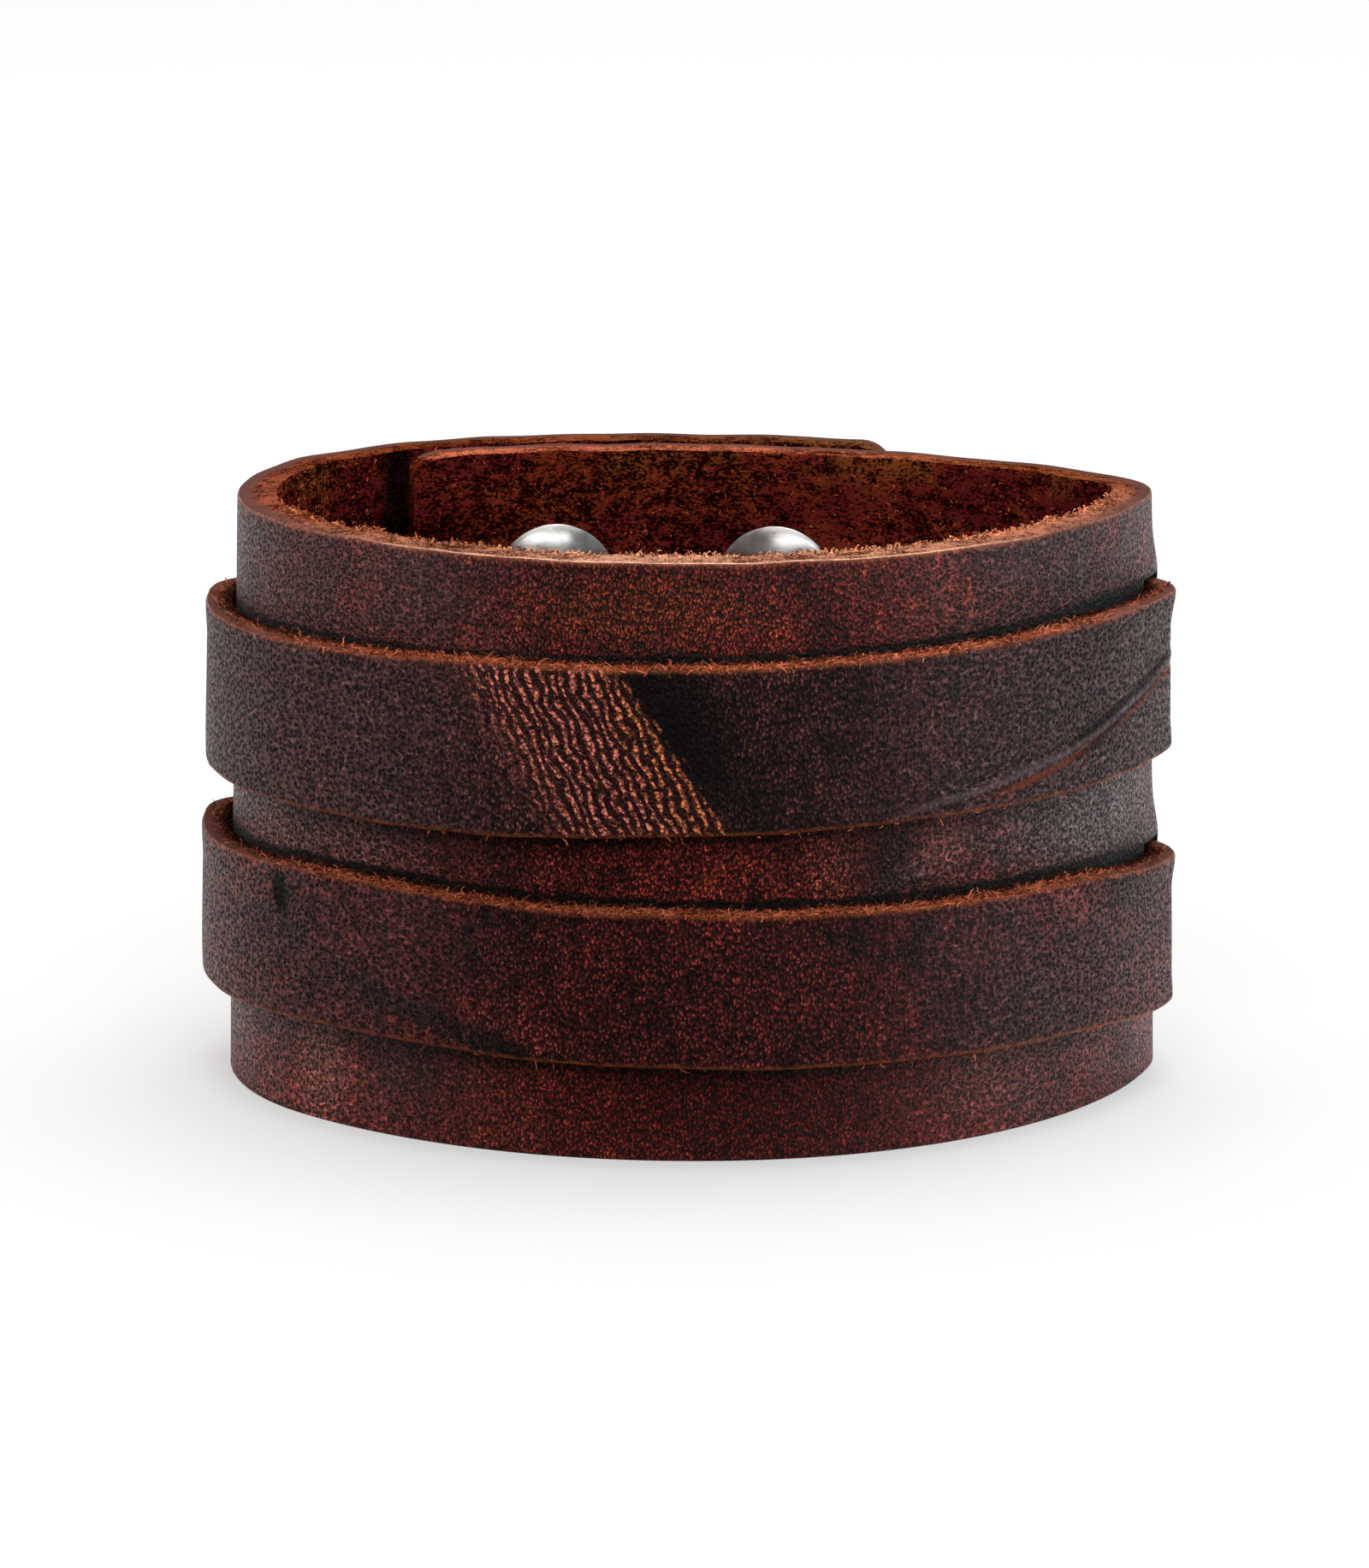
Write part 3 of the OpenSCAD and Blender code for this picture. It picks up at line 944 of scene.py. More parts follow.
class Desk:
    """Adds nodes to one tree."""

    def __init__(self, tree):
        self.tree = tree

    def add(self, kind, inputs=None, out=0, **settings):
        made = self.tree.nodes.new(kind)
        for key, value in settings.items():
            setattr(made, key, value)
        for key, value in (inputs or {}).items():
            if isinstance(value, bpy.types.NodeSocket):
                self.tree.links.new(value, made.inputs[key])
            else:
                made.inputs[key].default_value = value
        return made.outputs[out] if out is not None else made

    def maths(self, operation, *values):
        return self.add("ShaderNodeMath", dict(enumerate(values)), operation=operation)

    def vectors(self, operation, *values, out="Vector", **named):
        inputs = {**dict(enumerate(values)), **named}
        return self.add("ShaderNodeVectorMath", inputs, out=out, operation=operation)

    def ramp(self, value, low, high, to_low=0.0, to_high=1.0, kind="SMOOTHSTEP"):
        return self.add(
            "ShaderNodeMapRange",
            {"Value": value, 1: low, 2: high, 3: to_low, 4: to_high}, interpolation_type=kind,
        )

    def blend(self, factor, a, b, kind="MIX"):
        a, b = (c if isinstance(c, bpy.types.NodeSocket) else (*c, 1.0) for c in (a, b))
        return self.add(
            "ShaderNodeMix", {0: factor, 6: a, 7: b}, out=2, data_type="RGBA", blend_type=kind
        )

    def times(self, a, b):
        """One colour times another."""
        return self.blend(1.0, a, b, kind="MULTIPLY")

    def mix(self, factor, a, b):
        return self.add("ShaderNodeMix", {0: factor, 2: a, 3: b}, data_type="FLOAT")

    def noise(self, place, size, detail=2.0, rough=0.5, out="Fac"):
        return self.add(
            "ShaderNodeTexNoise",
            {"Vector": place, "Scale": 1.0 / size, "Detail": detail, "Roughness": rough}, out=out,
        )

    def dots(self, place, scale, out="Distance"):
        """Voronoi dots on the flat leather."""
        return self.add(
            "ShaderNodeTexVoronoi", {"Vector": place, "Scale": scale}, out=out,
            voronoi_dimensions="2D",
        )

    def stretched(self, place, scale, turn=0.0):
        inputs = {"Vector": place, "Rotation": (0, 0, math.radians(turn)), "Scale": scale}
        return self.add("ShaderNodeMapping", inputs)

    def wavy(self, place, reach, size, detail, rough):
        """A place that noise has moved about, so a pattern on it doesn't look printed."""
        wave = self.noise(place, size, detail, rough, out="Color")
        wave = self.vectors("SUBTRACT", wave, (0.5, 0.5, 0.5))
        return self.vectors("ADD", place, self.vectors("SCALE", wave, Scale=reach))

    def parts(self, vector):
        return self.add("ShaderNodeSeparateXYZ", {0: vector}, out=None).outputs

    def use(self, group, **inputs):
        inputs = {key.replace("_", " "): value for key, value in inputs.items()}
        return self.add("ShaderNodeGroup", inputs, out=None, node_tree=group).outputs

    def colours(self, value, rows):
        """A colour ramp from a table of values and colours."""
        low, high = rows[0][0], rows[-1][0]
        fac = self.ramp(value, low, high, kind="LINEAR")
        ramp = self.add("ShaderNodeValToRGB", {"Fac": fac}, out=None)
        ramp.color_ramp.interpolation = "EASE"
        dots = ramp.color_ramp.elements
        dots[0].position, dots[-1].position = 0.0, 1.0
        for at, _ in rows[1:-1]:
            dots.new((at - low) / (high - low))
        for dot, (_, colour) in zip(dots, rows):
            dot.color = (*colour, 1.0)
        return ramp.outputs["Color"]


SOCKETS = {"vector": "NodeSocketVector", "value": "NodeSocketFloat", "colour": "NodeSocketColor"}


def effect(name, inputs, outputs):
    """A new node group with named sockets, its inputs, its end and a desk to build it on."""
    tree = bpy.data.node_groups.new(name, "ShaderNodeTree")
    for in_out, table in (("INPUT", inputs), ("OUTPUT", outputs)):
        for socket, kind in table.items():
            tree.interface.new_socket(socket, in_out=in_out, socket_type=SOCKETS[kind])
    start, end = tree.nodes.new("NodeGroupInput"), tree.nodes.new("NodeGroupOutput")
    print("node group", name, "gives", *outputs)

    def give(**values):
        for key, value in values.items():
            tree.links.new(value, end.inputs[key])

    return tree, start.outputs, give, Desk(tree)


# %% [markdown]
# ## The grain
#
# This leather has a fine, close grain that shows in two ways. At the sides it is dark pits,
# under half a millimetre apart, in a paler ground. In the middle, where the wax lies thicker, it
# is the other way round: small bright flecks on nearly black, the grain's paler tops with
# painted glints on them. A photograph of leather could give both, but it would not follow the
# bends. Voronoi dots, one set for each way, are evenly scattered, noise moves and frays them,
# and the input Flecked goes from one way to the other. The group gives back the height for the
# bump, masks for the pits and the painted glints, and larger blotches that keep the ground from
# being even.

# %% Node group for the grain
grain, given, give, d = effect(
    "grain of the leather",
    {"Place": "vector", "Spacing": "value", "Flecked": "value", "Close": "value"},
    {"Height": "value", "Pits": "value", "Glint": "value", "Blotch": "value"},
)
bent = d.wavy(given["Place"], 0.5, 0.7, 2.0, 0.5)
bent = d.stretched(bent, (1.0, 0.78, 1.0))
fine = d.noise(given["Place"], 0.10, 3.0, 0.6)
grit = d.maths("SUBTRACT", fine, 0.5)
rough = d.noise(given["Place"], 0.35, 3.0, 0.6)

# Dark pits
wide = d.stretched(bent, (0.80, 1.15, 1.0))
dots = d.dots(wide, d.maths("DIVIDE", 1.30, given["Spacing"]), out=None)
reach = d.maths("MULTIPLY_ADD", grit, 0.35, dots.outputs["Distance"])
lot = d.parts(dots.outputs["Color"])[0]
dotted = d.maths("MULTIPLY", d.ramp(reach, 0.48, 0.30), d.ramp(lot, 0.0, 0.4, 0.30, 1.0))
mottle = d.maths("MULTIPLY", d.ramp(d.noise(bent, 0.20, 2.0, 0.6), 0.46, 0.38), 0.4)
dotted = d.maths("MAXIMUM", dotted, mottle)

# Bright flecks, with painted glints
upright = d.stretched(bent, (1.1, 0.85, 1.0))
flakes = d.dots(upright, d.maths("DIVIDE", 1.45, given["Spacing"]), out=None)
reach = d.maths("MULTIPLY_ADD", grit, 0.7, flakes.outputs["Distance"])
lot = d.parts(flakes.outputs["Color"])[0]
gaps_between = d.ramp(reach, given["Close"], d.maths("ADD", given["Close"], 0.30))
fleck = d.maths("MULTIPLY", d.ramp(reach, 0.38, 0.06), d.ramp(lot, 0.1, 0.9, 0.1, 1.0))
sparse = d.ramp(d.maths("ADD", fine, rough), 0.98, 1.16)

# Both ways together
pits = d.mix(given["Flecked"], dotted, gaps_between)
glint = d.mix(given["Flecked"], sparse, fleck)
height = d.maths("MULTIPLY_ADD", fine, 0.2, d.maths("MULTIPLY", rough, 0.5))
height = d.maths("SUBTRACT", d.maths("ADD", height, 0.6), d.maths("MULTIPLY", pits, 0.8))
blotch = d.noise(given["Place"], 0.75, 6.0, 0.85)
give(Height=height, Pits=pits, Glint=glint, Blotch=d.ramp(blotch, 0.30, 0.70))

# %% [markdown]
# ## The colour under the grain
#
# Waxed leather changes colour where it is pulled: clouds of wine red, rust and near black that
# are larger than the grain. Three sizes of noise make them, and one of them is stretched
# upright, because the hide's own streaks run across the band.

# %% Node group for the clouds
clouds, given, give, d = effect(
    "clouds of waxed leather",
    {"Place": "vector", "Deep": "colour", "Base": "colour", "Warm": "colour"},
    {"Colour": "colour"},
)
large = d.noise(given["Place"], 13.0, 2.0)
middle = d.noise(given["Place"], 2.6, 4.0, 0.62)
streak = d.noise(d.stretched(given["Place"], (1.0, 0.22, 1.0)), 0.9, 3.0, 0.6)
total = d.maths("ADD", d.maths("MULTIPLY", large, 0.9), d.maths("MULTIPLY", middle, 0.8))
total = d.maths("MULTIPLY_ADD", streak, 0.75, total)
colour = d.blend(d.ramp(total, 0.95, 1.28), given["Deep"], given["Base"])
colour = d.blend(d.ramp(total, 1.22, 1.62), colour, given["Warm"])
give(Colour=colour)

# %% [markdown]
# ## Stains and marks
#
# Years of use leave spots, smudges and worn patches in places of their own. Each one is an
# ellipse on the flat leather with a ragged soft edge, so one group makes them all from a
# middle, a turn and a size, and each finish has a short table of its own marks. The same group
# also paints a few patches of sheen and shade.

# %% Node group for a soft patch
patch, given, give, d = effect(
    "soft patch",
    {"Place": "vector", "Middle": "vector", "Turn": "vector", "Size": "vector",
     "Softness": "value", "Ragged": "value"},
    {"Mask": "value"},
)
local = d.add("ShaderNodeMapping", {"Vector": given["Place"], "Location": given["Middle"],
                                    "Rotation": given["Turn"], "Scale": given["Size"]},
              vector_type="TEXTURE")
local = d.vectors("MULTIPLY", local, (1.0, 1.0, 0.0))
reach = d.vectors("LENGTH", local, out="Value")
rag = d.maths("SUBTRACT", d.noise(given["Place"], 0.8, 4.0, 0.6), 0.5)
reach = d.maths("MULTIPLY_ADD", rag, given["Ragged"], reach)
low = d.maths("SUBTRACT", 1.0, given["Softness"])
high = d.maths("ADD", 1.0, given["Softness"])
give(Mask=d.maths("SUBTRACT", 1.0, d.ramp(reach, low, high)))


def soft_patch(d, place, middle, size, turn=0.0, soft=0.5, ragged=1.0):
    return d.use(
        patch, Place=place, Middle=(*middle, 0.0), Turn=(0.0, 0.0, math.radians(turn)),
        Size=(*size, 1.0), Softness=soft, Ragged=ragged,
    )["Mask"]


def marked(d, place, colour, marks):
    """Blends a table of marks over a colour."""
    for middle, size, turn, soft, ragged, strength, tint in marks:
        mask = soft_patch(d, place, middle, size, turn, soft, ragged)
        colour = d.blend(d.maths("MULTIPLY", mask, strength), colour, tint)
    return colour


# %% [markdown]
# ## Bare fibre
#
# The cut rims, the flesh side and the loose fibres are the same thing, leather without its
# grain face. They are matt. Their colour is a mottle between a shaded and a lit copy of one
# colour, lit where fibres stand proud, so it is painted light and shade over the fibres' own
# tone. Fine noise at three sizes gives that felted look, and each finish passes in its own two
# colours.

# %% Node group for bare fibre
bare, given, give, d = effect(
    "bare fibre",
    {"Place": "vector", "Shade": "colour", "Light": "colour", "Size": "value"},
    {"Colour": "colour", "Height": "value"},
)
scaled = d.vectors("SCALE", given["Place"], Scale=d.maths("DIVIDE", 1.0, given["Size"]))
felt = d.noise(scaled, 0.17, 4.0, 0.7)
tuft = d.noise(scaled, 0.7, 3.0, 0.6)
broad = d.noise(scaled, 4.5, 2.0)
total = d.maths("ADD", d.maths("MULTIPLY", felt, 0.80), d.maths("MULTIPLY", tuft, 0.40))
total = d.maths("MULTIPLY_ADD", broad, 0.25, total)
# Painted light and shade: the felt takes the lit colour where it stands higher.
give(Colour=d.blend(d.ramp(total, 0.66, 0.80), given["Shade"], given["Light"]), Height=total)


# %% New materials and their last step
MATT = 0.0


def new_material(name):
    material = bpy.data.materials.new(name)
    material.use_nodes = True
    print("material", name)
    return material, Desk(material.node_tree), material.node_tree.nodes["Principled BSDF"]


def flat_place(d, name="leather_map"):
    """What a point kept from the flat leather."""
    return d.add("ShaderNodeAttribute", out="Vector", attribute_name=name,
                 attribute_type="GEOMETRY")


def finish(d, shader, colour, roughness, height, distance, gloss):
    """Plugs colour, roughness and bump into the shader, and sets how strongly it reflects."""
    shader.inputs["Specular IOR Level"].default_value = gloss
    bump = d.add("ShaderNodeBump", {"Height": height, "Distance": distance, "Strength": 1.0})
    for socket, value in (("Base Color", colour), ("Roughness", roughness), ("Normal", bump)):
        d.tree.links.new(value, shader.inputs[socket])


# %% [markdown]
# ## The crackled patch
#
# On the upper strap the wax has cracked in a slanting patch: chains of tiny raised beads, pink
# and orange, over black. The beads are Voronoi dots that are kept only along wavy slanting
# lines, so they read as chains. It is used once, so it stays in the strap's own finish.

# %% The crackle
BLACK = (0.0035, 0.0025, 0.0025)
UNDER_BEADS = (0.036, 0.006, 0.005)
SPECKS = (0.26, 0.08, 0.07)
PINK = (1.0, 0.28, 0.19)
ORANGE = (1.0, 0.28, 0.11)
SLANT_MIDDLE, SLANT = 31.0, 0.66
RAGGED = 2.4
CRACKED_LEFT, CRACKED_RIGHT = (-15.4, -11.0), (-1.2, -2.2)
BLACK_LEFT, BLACK_RIGHT = (-14.5, -9.0), (6.5, -0.5)
CHAIN_TURN = -24.0
CHAINS_PER_MM = 1.35
BEADS_PER_MM = 3.2


def crackle(d, place, colour):
    """Colour with the crackled patch, and the height of its beads."""
    s, z, _ = d.parts(place)
    u = d.maths("MULTIPLY_ADD", d.maths("SUBTRACT", z, SLANT_MIDDLE), SLANT, s)
    rag = d.maths("SUBTRACT", d.noise(place, 1.3, 4.0, 0.6), 0.5)
    u = d.maths("MULTIPLY_ADD", rag, RAGGED, u)
    inside = d.maths("MULTIPLY", d.ramp(u, *CRACKED_LEFT), d.ramp(u, *CRACKED_RIGHT))
    dark = d.maths("MULTIPLY", d.ramp(u, *BLACK_LEFT), d.ramp(u, *BLACK_RIGHT, 0.0, 0.9))
    dark = d.maths("MULTIPLY", dark, d.maths("MAXIMUM", inside, d.ramp(z, 25.5, 30.5, 0.45, 1.0)))
    bent = d.wavy(place, 1.7, 2.0, 3.0, 0.55)
    across = d.parts(d.stretched(bent, (1.0, 1.0, 1.0), turn=CHAIN_TURN))[0]
    line = d.maths("PINGPONG", d.maths("MULTIPLY", across, CHAINS_PER_MM), 0.5)
    line = d.ramp(line, 0.30, 0.14)
    beads = d.ramp(d.dots(place, BEADS_PER_MM), 0.62, 0.34, 0.15, 1.0)
    gaps = d.ramp(d.noise(place, 0.6, 3.0, 0.6), 0.38, 0.50)
    chain = d.maths("MULTIPLY", line, beads)
    chain = d.maths("MULTIPLY", chain, d.maths("MULTIPLY", gaps, inside))
    speck = d.maths("MULTIPLY", d.ramp(d.noise(place, 0.14, 2.0, 0.5), 0.56, 0.70), inside)
    lit = d.blend(d.ramp(d.maths("MULTIPLY_ADD", z, 0.5, s), 9.0, 13.5), PINK, ORANGE)
    colour = d.blend(dark, colour, BLACK)
    colour = d.blend(d.maths("MULTIPLY", inside, 0.4), colour, UNDER_BEADS)
    colour = d.blend(d.maths("MULTIPLY", speck, 0.6), colour, SPECKS)
    return d.blend(chain, colour, lit), chain


# %% [markdown]
# ## Grain finish of the band and the straps
#
# The band and the straps are the same leather, so one function builds their finish and each
# brings its own spacing of the grain and its own table of marks. Most of the sheen comes from the
# lamps: the wax makes the leather half glossy, and the light of the studio lies along its sides.
# The sides are also painted greyer than the middle, partly as dust in the pores and partly as
# painted sheen, warm on the left and cool on the right, and the grain's glints are painted
# highlights. Where the edges are rubbed the wax has gone and the rust colour of the dyed leather
# shows. The band alone gets painted shade close to a strap.

# %% Build the grain finish
GLINT_GREY = (0.20, 0.13, 0.14)
DUST_AND_SHEEN_LEFT = (0.092, 0.043, 0.046)
DUST_AND_SHEEN_RIGHT = (0.067, 0.044, 0.052)
RUST = (0.28, 0.066, 0.020)
BRIGHTER = (5.0, 6.2, 5.2)
BLOTCH_LOW = (0.08, 0.05, 0.055)
BLOTCH_HIGH = (1.34, 1.08, 1.08)
FLECKS_AT, FLECKED, PITTED = -2.0, 9.0, 24.0
CLEAN, DUSTY = 7.0, 26.0
WORN_WIDTH = 0.45
GRAIN_BUMP = 0.00034


def paint_shade_by_straps(d, place, colour):
    """Colour of the band with painted shade, a contact shadow, along the straps' edges."""
    s = d.parts(place)[0]
    above, below, _ = d.parts(flat_place(d, "strap_gaps"))
    above = d.maths("MULTIPLY_ADD", d.noise(place, 1.6, 3.0), 0.8, above)
    above = d.maths("SUBTRACT", above, d.ramp(s, 18.0, 40.0, 0.0, 0.35))
    colour = d.blend(d.ramp(above, 1.25, 0.75, 0.0, 0.97), colour, BLACK)
    return d.blend(d.ramp(below, 0.55, 0.1, 0.0, 0.8), colour, BLACK)


def grain_finish(name, spacing, edges, marks, tones, dust_and_sheen, gloss, close,
                 crackled=False, shade_by_straps=False, lines=()):
    """Edges are the rubbed ones: height, way in from the edge, and strength."""
    material, d, shader = new_material(name)
    place = flat_place(d)
    deep, base, warm = tones
    cloud = d.use(clouds, Place=place, Deep=(*deep, 1), Base=(*base, 1), Warm=(*warm, 1))
    s, z, _ = d.parts(place)
    off = d.maths("ABSOLUTE", d.maths("SUBTRACT", s, FLECKS_AT))
    flecked = d.ramp(off, PITTED, FLECKED, 0.12, 0.75)
    pores = d.use(grain, Place=place, Spacing=spacing, Flecked=flecked, Close=close)
    colour = marked(d, place, cloud["Colour"], marks)
    # Painted sheen and dust: the sides are blended towards greyer colours, warm on the left and
    # cool on the right.
    dust_and_sheen_share = d.ramp(d.noise(place, 5.0, 3.0, 0.6), 0.32, 0.62, 0.5, 1.0)
    dust_and_sheen_share = d.maths("MULTIPLY", dust_and_sheen_share, d.ramp(d.maths("ABSOLUTE", s), CLEAN, DUSTY, 0.03, 1.0))
    dust_and_sheen_share = d.maths("MULTIPLY", dust_and_sheen_share, d.ramp(z, 2.0, 14.0, 0.35, 1.0))
    grey = d.blend(d.ramp(s, -12.0, 12.0), DUST_AND_SHEEN_LEFT, DUST_AND_SHEEN_RIGHT)
    colour = d.blend(d.maths("MULTIPLY", dust_and_sheen_share, dust_and_sheen), colour, grey)
    # Painted glints: the grain's bright specks are painted highlights, greyer at the sides.
    bright = d.blend(d.maths("MULTIPLY", dust_and_sheen_share, 0.5), d.times(colour, BRIGHTER), GLINT_GREY)
    colour = d.blend(pores["Glint"], colour, bright)
    colour = d.times(colour, d.blend(pores["Blotch"], BLOTCH_LOW, BLOTCH_HIGH))
    colour = d.blend(d.maths("MULTIPLY", pores["Pits"], 0.93), colour, BLACK)
    height = pores["Height"]
    if crackled:
        colour, beads = crackle(d, place, colour)
        height = d.maths("MULTIPLY_ADD", beads, 1.6, height)
    wander = d.maths("MULTIPLY_ADD", d.noise(place, 1.1, 4.0, 0.65), 0.9, -0.45)
    for edge, inward, strength in edges:
        worn = d.ramp(d.maths("ADD", z, wander), edge + inward * WORN_WIDTH, edge)
        colour = d.blend(d.maths("MULTIPLY", worn, strength), colour, RUST)
    # Painted shade: a contact shadow on the band above and below each strap.
    if shade_by_straps:
        colour = paint_shade_by_straps(d, place, colour)
    colour = marked(d, place, colour, lines)
    dull = d.ramp(d.maths("ABSOLUTE", s), 18.0, 34.0, 0.12, 0.42)
    rough = d.maths("MULTIPLY_ADD", pores["Pits"], dull, 0.30)
    rough = d.maths("MULTIPLY_ADD", d.noise(place, 3.0, 4.0, 0.6), 0.16, rough)
    finish(d, shader, colour, rough, height, GRAIN_BUMP, gloss)
    return material


# %% [markdown]
# ## Where the marks lie
#
# Each stain and rubbed place on the front is one row: middle, half size, turn in degrees,
# softness, raggedness, strength and colour, all on the flat leather in millimetres. They could
# be painted on an image, but a row is quick to move until it sits right. Two rows of the band,
# between the straps at the sides, are painted sheen. Long narrow marks, such as the fine lines
# beside the fold, are strokes: rows that follow a line of points. Along the fold the strokes are
# a painted highlight on the ridge, painted shade in the grooves and a rust line.

# %% Marks on the band and the straps
BAND_TONES = ((0.036, 0.0065, 0.0065), (0.140, 0.0190, 0.0150), (0.34, 0.052, 0.026))
UPPER_TONES = ((0.015, 0.0058, 0.0066), (0.057, 0.0182, 0.0196), (0.14, 0.044, 0.038))
LOWER_TONES = ((0.020, 0.0045, 0.0045), (0.080, 0.0125, 0.0122), (0.21, 0.034, 0.024))
OVERLAP = 0.62


def stroke(points, half, soft, ragged, strength, tint):
    """Marks that follow a line of points."""
    marks = []
    for (s0, z0), (s1, z1) in zip(points, points[1:]):
        run = Vector((s1 - s0, z1 - z0))
        middle, size = ((s0 + s1) / 2, (z0 + z1) / 2), (run.length * OVERLAP, half)
        turn = math.degrees(math.atan2(run.y, run.x))
        marks.append((middle, size, turn, soft, ragged, strength, tint))
    return marks


BAND_MARKS_AND_SHEEN = [
    ((-3.6, 41.0), (8.0, 2.2), 0, 0.6, 1.2, 0.65, (0.17, 0.035, 0.012)),
    ((16.9, 21.2), (5.0, 0.8), 20, 0.6, 1.5, 0.5, (0.16, 0.12, 0.12)),
    ((-22.5, 6.0), (4.0, 3.0), 0, 0.7, 1.2, 0.7, (0.018, 0.008, 0.010)),
    ((-14.8, 3.8), (3.6, 3.6), 0, 0.7, 1.4, 0.6, (0.19, 0.040, 0.020)),
    ((-30.5, 4.5), (2.2, 4.5), 0, 0.7, 1.4, 0.6, (0.28, 0.110, 0.075)),
    ((22.0, 6.5), (3.6, 2.6), 0, 0.7, 1.4, 0.5, (0.19, 0.055, 0.036)),
    ((10.0, 22.0), (2.2, 3.0), 0, 0.7, 1.2, 0.6, (0.22, 0.055, 0.040)),
    ((18.6, 22.6), (1.9, 2.4), 0, 0.7, 1.2, 0.7, (0.42, 0.130, 0.105)),
    ((13.8, 21.5), (1.6, 3.0), 0, 0.7, 1.2, 0.6, (0.012, 0.006, 0.007)),
    ((-20.0, 40.0), (3.0, 4.0), 0, 0.8, 1.2, 0.45, (0.050, 0.026, 0.030)),
    ((0.0, 3.5), (17.0, 4.0), 0, 0.8, 1.0, 0.75, (0.060, 0.0042, 0.0033)),
    # Painted sheen on the band between the straps: cool on the right side, warm on the left.
    ((35.0, 22.3), (9.0, 3.0), 0, 0.7, 0.8, 0.88, (0.270, 0.250, 0.275)),
    ((-34.0, 22.3), (9.0, 3.0), 0, 0.7, 1.0, 0.88, (0.400, 0.200, 0.180)),
    ((24.0, 3.0), (5.0, 3.0), 0, 0.7, 1.2, 0.5, (0.110, 0.028, 0.024)),
]
UPPER_MARKS = [
    ((23.0, 26.4), (3.0, 0.9), 12, 0.6, 1.2, 0.6, (0.20, 0.035, 0.015)),
    ((-1.5, 33.0), (4.0, 4.5), 0, 0.6, 1.0, 0.75, BLACK),
]
LOWER_MARKS = [
    *stroke([(-25.5, 11.2), (-18.0, 9.3), (-10.5, 7.6), (-3.0, 5.9)], 0.95, 0.7, 2.2, 0.94,
            (0.006, 0.003, 0.003)),
    ((-37.5, 9.5), (4.0, 1.6), 0, 0.7, 1.2, 0.6, (0.16, 0.035, 0.025)),
    ((27.0, 10.5), (6.0, 4.0), 0, 0.8, 1.2, 0.5, (0.030, 0.018, 0.020)),
]
SPOT = [(SCAR, (0.9, 1.75), 20, 0.3, 0.6, 0.98, BLACK)]
FOLD_SHEEN_SHADE_AND_RUST = [
    # Painted highlight along the ridge of the fold.
    *stroke([(16.3, 25.9), (23.3, 27.0), (30.0, 28.3), (36.3, 30.1), (43.3, 31.7), (47.0, 32.5)],
            0.30, 0.6, 0.5, 0.30, (0.16, 0.12, 0.13)),
    # Painted shade in the groove above the ridge.
    *stroke([(30.1, 28.75), (36.5, 30.6), (43.3, 32.25), (47.5, 33.2)], 0.30, 0.5, 0.9, 0.95,
            (0.006, 0.003, 0.003)),
    # A rust line in the groove below the ridge.
    *stroke([(23.6, 26.2), (29.0, 27.35), (34.0, 28.75), (43.0, 31.0), (47.0, 31.9)],
            0.26, 0.5, 1.1, 0.9, (0.16, 0.03, 0.012)),
    # Painted shade in the groove below the ridge.
    *stroke([(31.0, 27.75), (36.5, 29.55), (43.0, 31.2)], 0.24, 0.5, 0.8, 0.92,
            (0.005, 0.003, 0.003)),
]

# %% Finish the three grain sides
band_grain = grain_finish(
    "band grain", 0.36, [(BAND_H, -1, 0.5)], BAND_MARKS_AND_SHEEN, BAND_TONES, dust_and_sheen=0.74, gloss=0.22,
    close=0.30, shade_by_straps=True,
)
strap_grain = {}
for row, marks, tones, dust_and_sheen, lines in (
    ("upper", UPPER_MARKS, UPPER_TONES, 0.75, FOLD_SHEEN_SHADE_AND_RUST),
    ("lower", LOWER_MARKS, LOWER_TONES, 0.38, SPOT),
):
    middle, half = STRAPS[row]["z"], STRAPS[row]["width"] / 2
    strap_grain[row] = grain_finish(
        f"strap {row} grain", 0.42, [(middle - half, 1, 0.85), (middle + half, -1, 0.5)], marks,
        tones, dust_and_sheen, gloss=0.11, close=0.24, crackled=row == "upper", lines=lines,
    )

# %% [markdown]
# ## Rims, flesh side and fibres
#
# The rims of the front have faded to a pale salmon, those of the sides and the back are
# browner. The flesh side is dark suede that turns paler and olive near the rim.
# These finishes use the bare fibre group with colours from short tables along the leather.

# %% Rim, suede and strap edge
RIM_TABLE = [
    (-112, (0.10, 0.038, 0.014)), (-75, (0.14, 0.032, 0.010)), (-45, (0.16, 0.042, 0.024)),
    (-24, (0.22, 0.085, 0.050)), (-8, (0.31, 0.150, 0.10)), (10, (0.30, 0.14, 0.088)),
    (32, (0.26, 0.10, 0.06)), (60, (0.14, 0.035, 0.011)), (84, (0.28, 0.075, 0.038)),
    (112, (0.30, 0.080, 0.040)),
]
RIM_FIBRE_TABLE = [
    (-112, (0.15, 0.035, 0.012)), (-30, (0.32, 0.10, 0.045)), (0, (0.56, 0.27, 0.16)),
    (32, (0.46, 0.17, 0.085)), (112, (0.20, 0.05, 0.02)),
]
BURNISHED = (0.075, 0.036, 0.030)
CREAM = (0.80, 0.52, 0.34)


